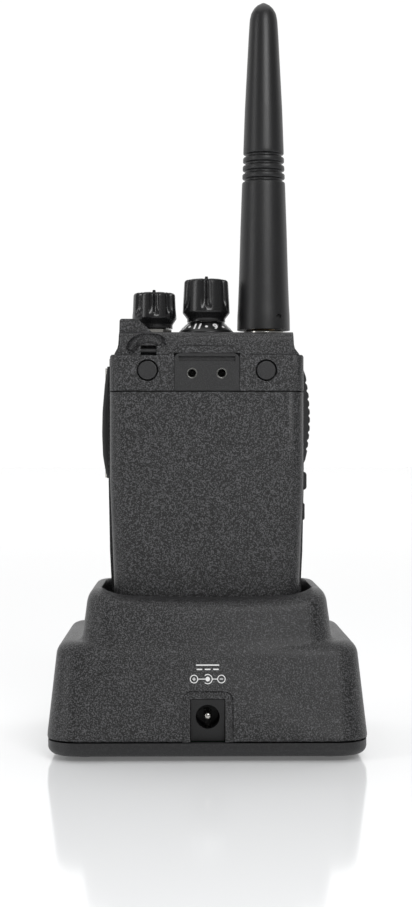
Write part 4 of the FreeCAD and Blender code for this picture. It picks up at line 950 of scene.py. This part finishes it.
@dataclass
class Knob:
    """A polished knob with paired flutes and a pointer nub. Millimetres."""

    palette: Palette
    name: str
    centre: tuple[float, float]
    neck_level: float
    skirt_level: float
    top: float
    neck: float
    skirt: float
    radius: float
    flutes: int
    flute_half: float = 1.4
    flute_depth: float = 0.85

    def depth(self, angle: float, level: float) -> float:
        """How deep a flute cuts: two grooves beside a fine centre ridge.

        Args:
            angle: The angle about the axis.
            level: The height.

        Returns:
            The depth, in millimetres.
        """
        start = self.skirt_level + 0.9
        if level < start:
            return 0.0
        fade = min(1.0, (level - start) / 2.4) ** 0.7
        pitch = math.tau / self.flutes
        offset = (angle - math.pi / 2 + pitch / 2) % pitch - pitch / 2
        across = abs(offset) * self.radius
        if across > self.flute_half:
            return 0.0
        bowl = math.cos(math.pi / 2 * across / self.flute_half) ** 0.6
        ridge = math.exp(-(across / 0.24) ** 2)
        return self.flute_depth * fade * bowl * (1.0 - 0.8 * ridge)

    def build(self) -> bpy.types.Object:
        """Turn the knob and set its nub.

        Returns:
            The finished knob.
        """
        top, round_edge = self.top, 0.9
        profile = [(3.0, self.neck_level + 1.5), (3.0, self.neck_level),
                   (self.neck, self.neck_level), (self.neck, self.skirt_level - 1.6),
                   (self.neck + 0.15, self.skirt_level - 1.3), (self.skirt - 0.25,
                   self.skirt_level - 0.2), (self.skirt, self.skirt_level + 0.15)]
        rows = 14
        low, high = self.skirt_level + 0.6, top - round_edge
        for row in range(rows + 1):
            share = row / rows
            profile.append((self.skirt + (self.radius - self.skirt) * share,
                            low + (high - low) * share))
        for degrees in (20, 40, 60, 80, 90):
            angle = math.radians(degrees)
            profile.append((self.radius - round_edge * (1 - math.cos(angle)),
                            high + round_edge * math.sin(angle)))
        inner = self.radius - round_edge - 1.3
        profile += [(inner, top), (inner - 0.3, top - 0.2), (0.001, top - 0.2)]
        knob = lathe(self.name + "_moulding", self.centre, profile, 240, self.depth, 60.0)
        # The pointer nub stands near the rim, on the side that faces +Y.
        nub_place = self.radius - 2.4
        nub_rings = [[((self.centre[0] + x * grow) * MM, (self.centre[1] + y) * MM, z * MM)
                      for x, y in ((-0.45, nub_place - 0.8), (0.45, nub_place - 0.8),
                                   (0.45, nub_place + 1.4), (-0.45, nub_place + 1.4))]
                     for z, grow in ((top - 0.6, 1.0), (top + 0.3, 1.0), (top + 0.55, 0.7))]
        piece = join(self.name + "_top", [knob, loft("nub", nub_rings)])
        tidy(piece, 50.0)
        return finish_piece(piece, self.palette, Stock.KNOB, self.name,
                            [self.name])


@dataclass
class Dial:
    """White channel marks round the dial ring. Millimetres."""

    palette: Palette
    centre: tuple[float, float] = (0.0, 4.0)
    foot_radius: float = 8.2
    foot_level: float = 116.0
    top_radius: float = 5.2
    top_level: float = 119.0
    positions: int = 16
    rear_position: int = 10
    lift: float = 0.03

    def build(self) -> bpy.types.Object:
        """Set odd numbers and dots for even ones on the cone.

        Returns:
            The finished marks.
        """
        slope = math.atan2(self.top_level - self.foot_level, self.foot_radius - self.top_radius)
        middle_radius = (self.foot_radius + self.top_radius) / 2
        middle_level = (self.foot_level + self.top_level) / 2
        # The marks lean back on the cone, then go round to their places.
        lean = Matrix.Rotation(math.pi / 2 - slope, 4, "X")
        dot = self.dot()
        dot.data.transform(Matrix.Rotation(-math.pi / 2, 4, "Z") @ lean)
        marks = [repeat_round(dot, self.palette.get(Stock.PRINT), self.positions // 2,
                              middle_radius + self.lift, middle_level)]
        out = Matrix.Translation((0, (middle_radius + self.lift) * MM, middle_level * MM))
        for position in range(1, self.positions + 1, 2):
            mark = text_mesh("dial mark", str(position), 2.9, 0.3)
            steps = position - self.rear_position
            mark.data.transform(Matrix.Rotation(-math.tau * steps / self.positions, 4, "Z")
                                @ out @ lean)
            marks.append(mark)
        ring = join("dial_marks", marks)
        ring.data.transform(Matrix.Translation((self.centre[0] * MM, self.centre[1] * MM, 0)))
        ink = ring.modifiers.new("Ink", "SOLIDIFY")
        ink.thickness = 0.00008
        ink.offset = 0.0
        bake_modifiers(ring)
        tidy(ring, 60.0)
        return finish_piece(ring, self.palette, Stock.PRINT, "radio")

    def dot(self) -> bpy.types.Object:
        """A round dot in the XZ plane.

        Returns:
            The dot.
        """
        steps = 20
        points = [(0.42 * MM * math.cos(math.tau * i / steps), 0.0,
                   0.42 * MM * math.sin(math.tau * i / steps)) for i in range(steps)]
        return mesh_object("dial dot", points, [list(range(steps))])


# ---------------------------------------------------------------- rubber side pieces and roof

@dataclass
class SidePad:
    """A rubber pad on the radio's side that swells out between its ends. Millimetres."""

    palette: Palette
    node: str
    body: str
    swell: tuple[tuple[float, float], ...]
    ribs: int = 0
    rib_depth: float = 0.0
    corner: float = 1.1

    def reach(self, share: float) -> float:
        """How far out the pad stands at a share of its height, from 0 to 1.

        Args:
            share: The share.

        Returns:
            The shortfall from its outermost face.
        """
        for (low, a), (high, b) in zip(self.swell, self.swell[1:]):
            if share <= high:
                return a + (b - a) * (share - low) / (high - low)
        return self.swell[-1][1]

    def rib(self, share: float) -> float:
        """How much the grooves between the ribs take off.

        Args:
            share: The share of the height.

        Returns:
            The depth, in millimetres.
        """
        if not self.ribs or not 0.12 < share < 0.88:
            return 0.0
        wave = math.cos(math.tau * self.ribs * (share - 0.12) / 0.76)
        return self.rib_depth * (0.5 - 0.5 * wave) ** 3

    def build(self) -> bpy.types.Object:
        """Loft the pad upwards inside its CAD node's box.

        Returns:
            The finished pad.
        """
        low, high = (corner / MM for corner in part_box(self.node))
        side = 1.0 if high.x > 0 else -1.0
        outer = high.x if side > 0 else -low.x
        inner = low.x if side > 0 else -high.x
        front, rear, corner = low.y, high.y, self.corner
        rings = []
        steps = 24 + 16 * self.ribs
        for step in range(steps + 1):
            share = step / steps
            edge = outer - self.reach(share) - self.rib(share)
            ring = [(inner, front), (inner, rear)]
            for quarter in range(7):
                angle = math.radians(90 - 15 * quarter)
                ring.append((edge - corner + corner * math.cos(angle),
                             rear - corner + corner * math.sin(angle)))
            for quarter in range(7):
                angle = math.radians(-15 * quarter)
                ring.append((edge - corner + corner * math.cos(angle),
                             front + corner + corner * math.sin(angle)))
            rings.append([(side * x * MM, y * MM, (low.z + (high.z - low.z) * share) * MM)
                          for x, y in ring])
        pad = loft(self.node + "_rubber", rings, True, 40.0)
        return finish_piece(pad, self.palette, Stock.RUBBER, self.body, [self.node])


@dataclass
class Roof:
    """The radio's top cover with the lanyard's finger recess. Millimetres."""

    palette: Palette
    middle: tuple[float, float] = (16.2, 110.0)
    reach_x: float = 4.7
    reach_z: float = 3.7
    tube: float = 1.6
    start: float = -12.0
    stop: float = 158.0

    def build(self) -> bpy.types.Object:
        """Copy the cover's form and sink a curved channel round the lanyard slot.

        Returns:
            The finished cover.
        """
        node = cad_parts["top_cover"]
        cover = bpy.data.objects.new("top_cover_moulding", node.data.copy())
        bpy.context.scene.collection.objects.link(cover)
        tidy(cover)
        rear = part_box("top_cover")[1].y / MM
        rings = []
        for step in range(29):
            angle = math.radians(self.start + (self.stop - self.start) * step / 28)
            out = Vector((math.cos(angle), 0.0, math.sin(angle)))
            centre = Vector((self.middle[0] + self.reach_x * math.cos(angle), rear - 0.3,
                             self.middle[1] + self.reach_z * math.sin(angle)))
            size = self.tube * (1.0 if 2 < step < 26 else 0.55)
            rings.append([tuple((centre + size * (math.cos(turn) * out + math.sin(turn) * Vector(
                (0.0, 1.0, 0.0)))) * MM) for turn in (math.tau * i / 16 for i in range(16))])
        cut_with(cover, loft("channel", rings))
        soften = cover.modifiers.new("Bevel", "BEVEL")
        soften.width = 0.3 * MM
        soften.segments = 2
        soften.limit_method = "ANGLE"
        soften.angle_limit = math.radians(32)
        bake_modifiers(cover)
        tidy(cover, 40.0)
        return finish_piece(cover, self.palette, Stock.CASE, "radio", ["top_cover"])


# ---------------------------------------------------------------- carried-over CAD nodes

@dataclass(frozen=True)
class Dressing:
    """How a carried-over CAD node is finished: its material and its edge rounding."""

    stock: Stock
    edge: float = 0.0


DRESSINGS: dict[str, Dressing] = {
    "cradle_base": Dressing(Stock.PLATE), "cradle_feet": Dressing(Stock.FOOT, 0.3),
    "cradle_screws": Dressing(Stock.NICKEL, 0.1), "charger_board": Dressing(Stock.BOARD),
    "cradle_status_lens": Dressing(Stock.LENS, 0.3),
    "dc_jack_housing": Dressing(Stock.SOCKET, 0.12), "dc_jack_pin": Dressing(Stock.NICKEL),
    "dc_jack_spring": Dressing(Stock.NICKEL, 0.05), "charge_pin_block": Dressing(Stock.SOCKET, 0.1),
    "charge_pins": Dressing(Stock.GOLD), "charge_pin_springs": Dressing(Stock.NICKEL),
    "battery_cover": Dressing(Stock.CASE, 0.5), "battery_inner_case": Dressing(Stock.CASE, 0.2),
    "battery_cells": Dressing(Stock.CELL), "battery_board": Dressing(Stock.BOARD),
    "battery_radio_contacts": Dressing(Stock.GOLD, 0.1),
    "battery_charge_contacts": Dressing(Stock.GOLD, 0.1),
    "front_case": Dressing(Stock.CASE, 0.4), "seal_gasket": Dressing(Stock.RUBBER),
    "rear_chassis": Dressing(Stock.CASE, 0.35),
    "radio_status_lens": Dressing(Stock.LENS, 0.2), "lanyard_bar": Dressing(Stock.PLATE),
    "belt_plate": Dressing(Stock.PLATE, 0.15), "belt_inserts": Dressing(Stock.BLACK_STEEL, 0.08),
    "screw_caps": Dressing(Stock.PLATE, 0.1), "chassis_screws": Dressing(Stock.NICKEL),
    "channel_switch": Dressing(Stock.SOCKET), "channel_shaft": Dressing(Stock.NICKEL),
    "volume_control": Dressing(Stock.SOCKET), "volume_shaft": Dressing(Stock.NICKEL),
    "control_nuts": Dressing(Stock.NICKEL, 0.15), "dial_ring": Dressing(Stock.DIAL, 0.15),
    "antenna_socket": Dressing(Stock.NICKEL, 0.12), "antenna_core": Dressing(Stock.BRASS),
    "antenna_connector": Dressing(Stock.BRASS, 0.1), "key_switches": Dressing(Stock.BOARD),
    "side_key_upper": Dressing(Stock.RUBBER, 0.3),
    "side_key_lower": Dressing(Stock.RUBBER, 0.3),
    "jack_cover_pin": Dressing(Stock.NICKEL), "accessory_jacks": Dressing(Stock.SOCKET, 0.1),
    "main_board": Dressing(Stock.BOARD), "shield_cans": Dressing(Stock.NICKEL, 0.15),
    "radio_battery_contacts": Dressing(Stock.GOLD, 0.1), "speaker_mesh": Dressing(Stock.CLOTH),
    "speaker_frame": Dressing(Stock.NICKEL), "speaker_cone": Dressing(Stock.CLOTH),
    "speaker_magnet": Dressing(Stock.NICKEL), "microphone": Dressing(Stock.SOCKET, 0.1),
    "battery_latch": Dressing(Stock.CASE, 0.15), "latch_springs": Dressing(Stock.NICKEL),
    "latch_spring_seat": Dressing(Stock.SOCKET, 0.1),
}


def dress_node(name: str, dressing: Dressing, palette: Palette) -> None:
    """Give a CAD node its material and, by modifiers only, its soft moulded edges.

    Args:
        name: The node's name.
        dressing: Its finish and edge rounding.
        palette: Where finishes come from.
    """
    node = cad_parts[name]
    node.data.materials.clear()
    node.data.materials.append(palette.get(dressing.stock))
    if dressing.edge:
        weld = node.modifiers.new("Weld", "WELD")
        weld.merge_threshold = 1e-6
        bevel = node.modifiers.new("Bevel", "BEVEL")
        bevel.width = dressing.edge * MM
        bevel.segments = 2
        bevel.limit_method = "ANGLE"
        bevel.angle_limit = math.radians(40)
        bevel.harden_normals = False
        bevel.use_clamp_overlap = True
    LOG.info("%s: carried over, %s", name, dressing.stock.value.name)


# ---------------------------------------------------------------- studio

@dataclass
class Studio:
    """The pale acrylic table, the white surround, the lamps and the camera. Metres."""

    eye_distance: float = 0.465
    eye_level: float = 0.0817
    eye_side: float = 0.006
    lens: float = 64.0
    cove_edge: float = -0.05
    cove_full: float = 0.5
    room_light: float = 0.26

    def build_table(self) -> None:
        """Lay a glossy white acrylic sheet under the object."""
        half = 9.0
        table = mesh_object("table", [(-half, -half, -0.0002), (half, -half, -0.0002),
                                      (half, half, -0.0002), (-half, half, -0.0002)],
                            [[0, 1, 2, 3]])
        material = bpy.data.materials.new("white acrylic sheet")
        material.use_nodes = True
        shader = material.node_tree.nodes["Principled BSDF"]
        shader.inputs["Base Color"].default_value = linear("f8f9fa")
        shader.inputs["Roughness"].default_value = 0.10
        shader.inputs["IOR"].default_value = 1.45
        shader.inputs["Emission Color"].default_value = (1.0, 1.0, 1.0, 1.0)
        shader.inputs["Emission Strength"].default_value = 0.12
        table.data.materials.append(material)

    def build_world(self) -> None:
        """Surround everything with light: a white cove behind the object, dimmer elsewhere."""
        world = bpy.data.worlds.new("white surround")
        world.use_nodes = True
        tree = world.node_tree
        tree.nodes.clear()
        heading = add_node(tree, "ShaderNodeTexCoord").outputs["Generated"]
        facing = add_node(tree, "ShaderNodeVectorMath", {"operation": "DOT_PRODUCT"},
                          {0: heading, 1: (0.0, -1.0, 0.0)})
        level = add_node(tree, "ShaderNodeMapRange", {"interpolation_type": "SMOOTHSTEP"},
                         {"Value": facing.outputs["Value"], "From Min": self.cove_edge,
                          "From Max": self.cove_full, "To Min": self.room_light, "To Max": 1.02})
        # What is seen directly is plain white from every side; only the light varies.
        seen = add_node(tree, "ShaderNodeLightPath").outputs["Is Camera Ray"]
        strength = add_node(tree, "ShaderNodeMix", {"data_type": "FLOAT"},
                            {0: seen, 2: level.outputs[0], 3: 1.02})
        background = add_node(tree, "ShaderNodeBackground", None,
                              {"Color": (1.0, 1.0, 1.0, 1.0), "Strength": strength.outputs[0]})
        add_node(tree, "ShaderNodeOutputWorld", None, {"Surface": background.outputs[0]})
        bpy.context.scene.world = world

    def add_lamp(self, name: str, place: Point, aim: Point, size: tuple[float, float],
                 power: float) -> None:
        """Hang a rectangular softbox that faces a point.

        Args:
            name: The lamp's name.
            place: Where it hangs.
            aim: What it faces.
            size: Its width and height.
            power: Its power in watts.
        """
        light = bpy.data.lights.new(name, "AREA")
        light.shape = "RECTANGLE"
        light.size, light.size_y = size
        light.energy = power
        lamp = bpy.data.objects.new(name, light)
        lamp.location = place
        direction = Vector(aim) - Vector(place)
        lamp.rotation_euler = direction.to_track_quat("-Z", "Y").to_euler()
        bpy.context.scene.collection.objects.link(lamp)

    def build_camera(self) -> None:
        """Stand the camera behind the radio, level with its battery."""
        data = bpy.data.cameras.new("camera")
        data.lens = self.lens
        data.sensor_width = 36.0
        camera = bpy.data.objects.new("camera", data)
        camera.location = (self.eye_side, self.eye_distance, self.eye_level)
        yaw = math.pi - math.atan2(self.eye_side, self.eye_distance)
        camera.rotation_euler = (math.pi / 2, 0.0, yaw)
        bpy.context.scene.collection.objects.link(camera)
        bpy.context.scene.camera = camera

    def build(self) -> None:
        """Set up the whole studio."""
        self.build_camera()
        self.build_table()
        self.build_world()
        self.add_lamp("left strip", (0.45, 0.26, 0.27), (0.0, 0.0, 0.12), (0.10, 0.5), 0.62)
        self.add_lamp("key box", (-0.18, 0.55, 0.42), (0.0, 0.0, 0.07), (0.26, 0.26), 1.7)
        self.add_lamp("top box", (0.0, 0.02, 0.62), (0.0, 0.0, 0.05), (0.5, 0.4), 0.6)


# ---------------------------------------------------------------- whole object

def main() -> None:
    """Build the studio, the moulded pieces and the finishes, and report each one."""
    logging.basicConfig(level=logging.INFO, format="%(message)s")
    palette = Palette()
    bpy.context.scene.view_settings.view_transform = "Standard"
    Studio().build()
    Cradle(palette).build()
    Antenna(palette).build()
    Knob(palette, "channel_knob", (0.0, 4.0), 119.2, 121.6, 131.2, 5.45, 6.72, 6.30, 6).build()
    Knob(palette, "volume_knob", (14.8, 4.0), 117.3, 119.9, 127.4, 5.2, 6.32, 6.1, 8).build()
    Dial(palette).build()
    Roof(palette).build()
    SidePad(palette, "ptt_button", "ptt_button",
            ((0.0, 2.1), (0.05, 1.4), (0.15, 0.75), (0.35, 0.1), (0.5, 0.0), (0.7, 0.35),
             (0.9, 1.2), (1.0, 2.2)), 9, 0.4).build()
    SidePad(palette, "jack_cover", "jack_cover",
            ((0.0, 1.45), (0.06, 1.0), (0.2, 0.25), (0.4, 0.0), (0.6, 0.12), (0.85, 0.8),
             (1.0, 1.5))).build()
    for name, dressing in DRESSINGS.items():
        dress_node(name, dressing, palette)


if __name__ == "__main__":
    main()
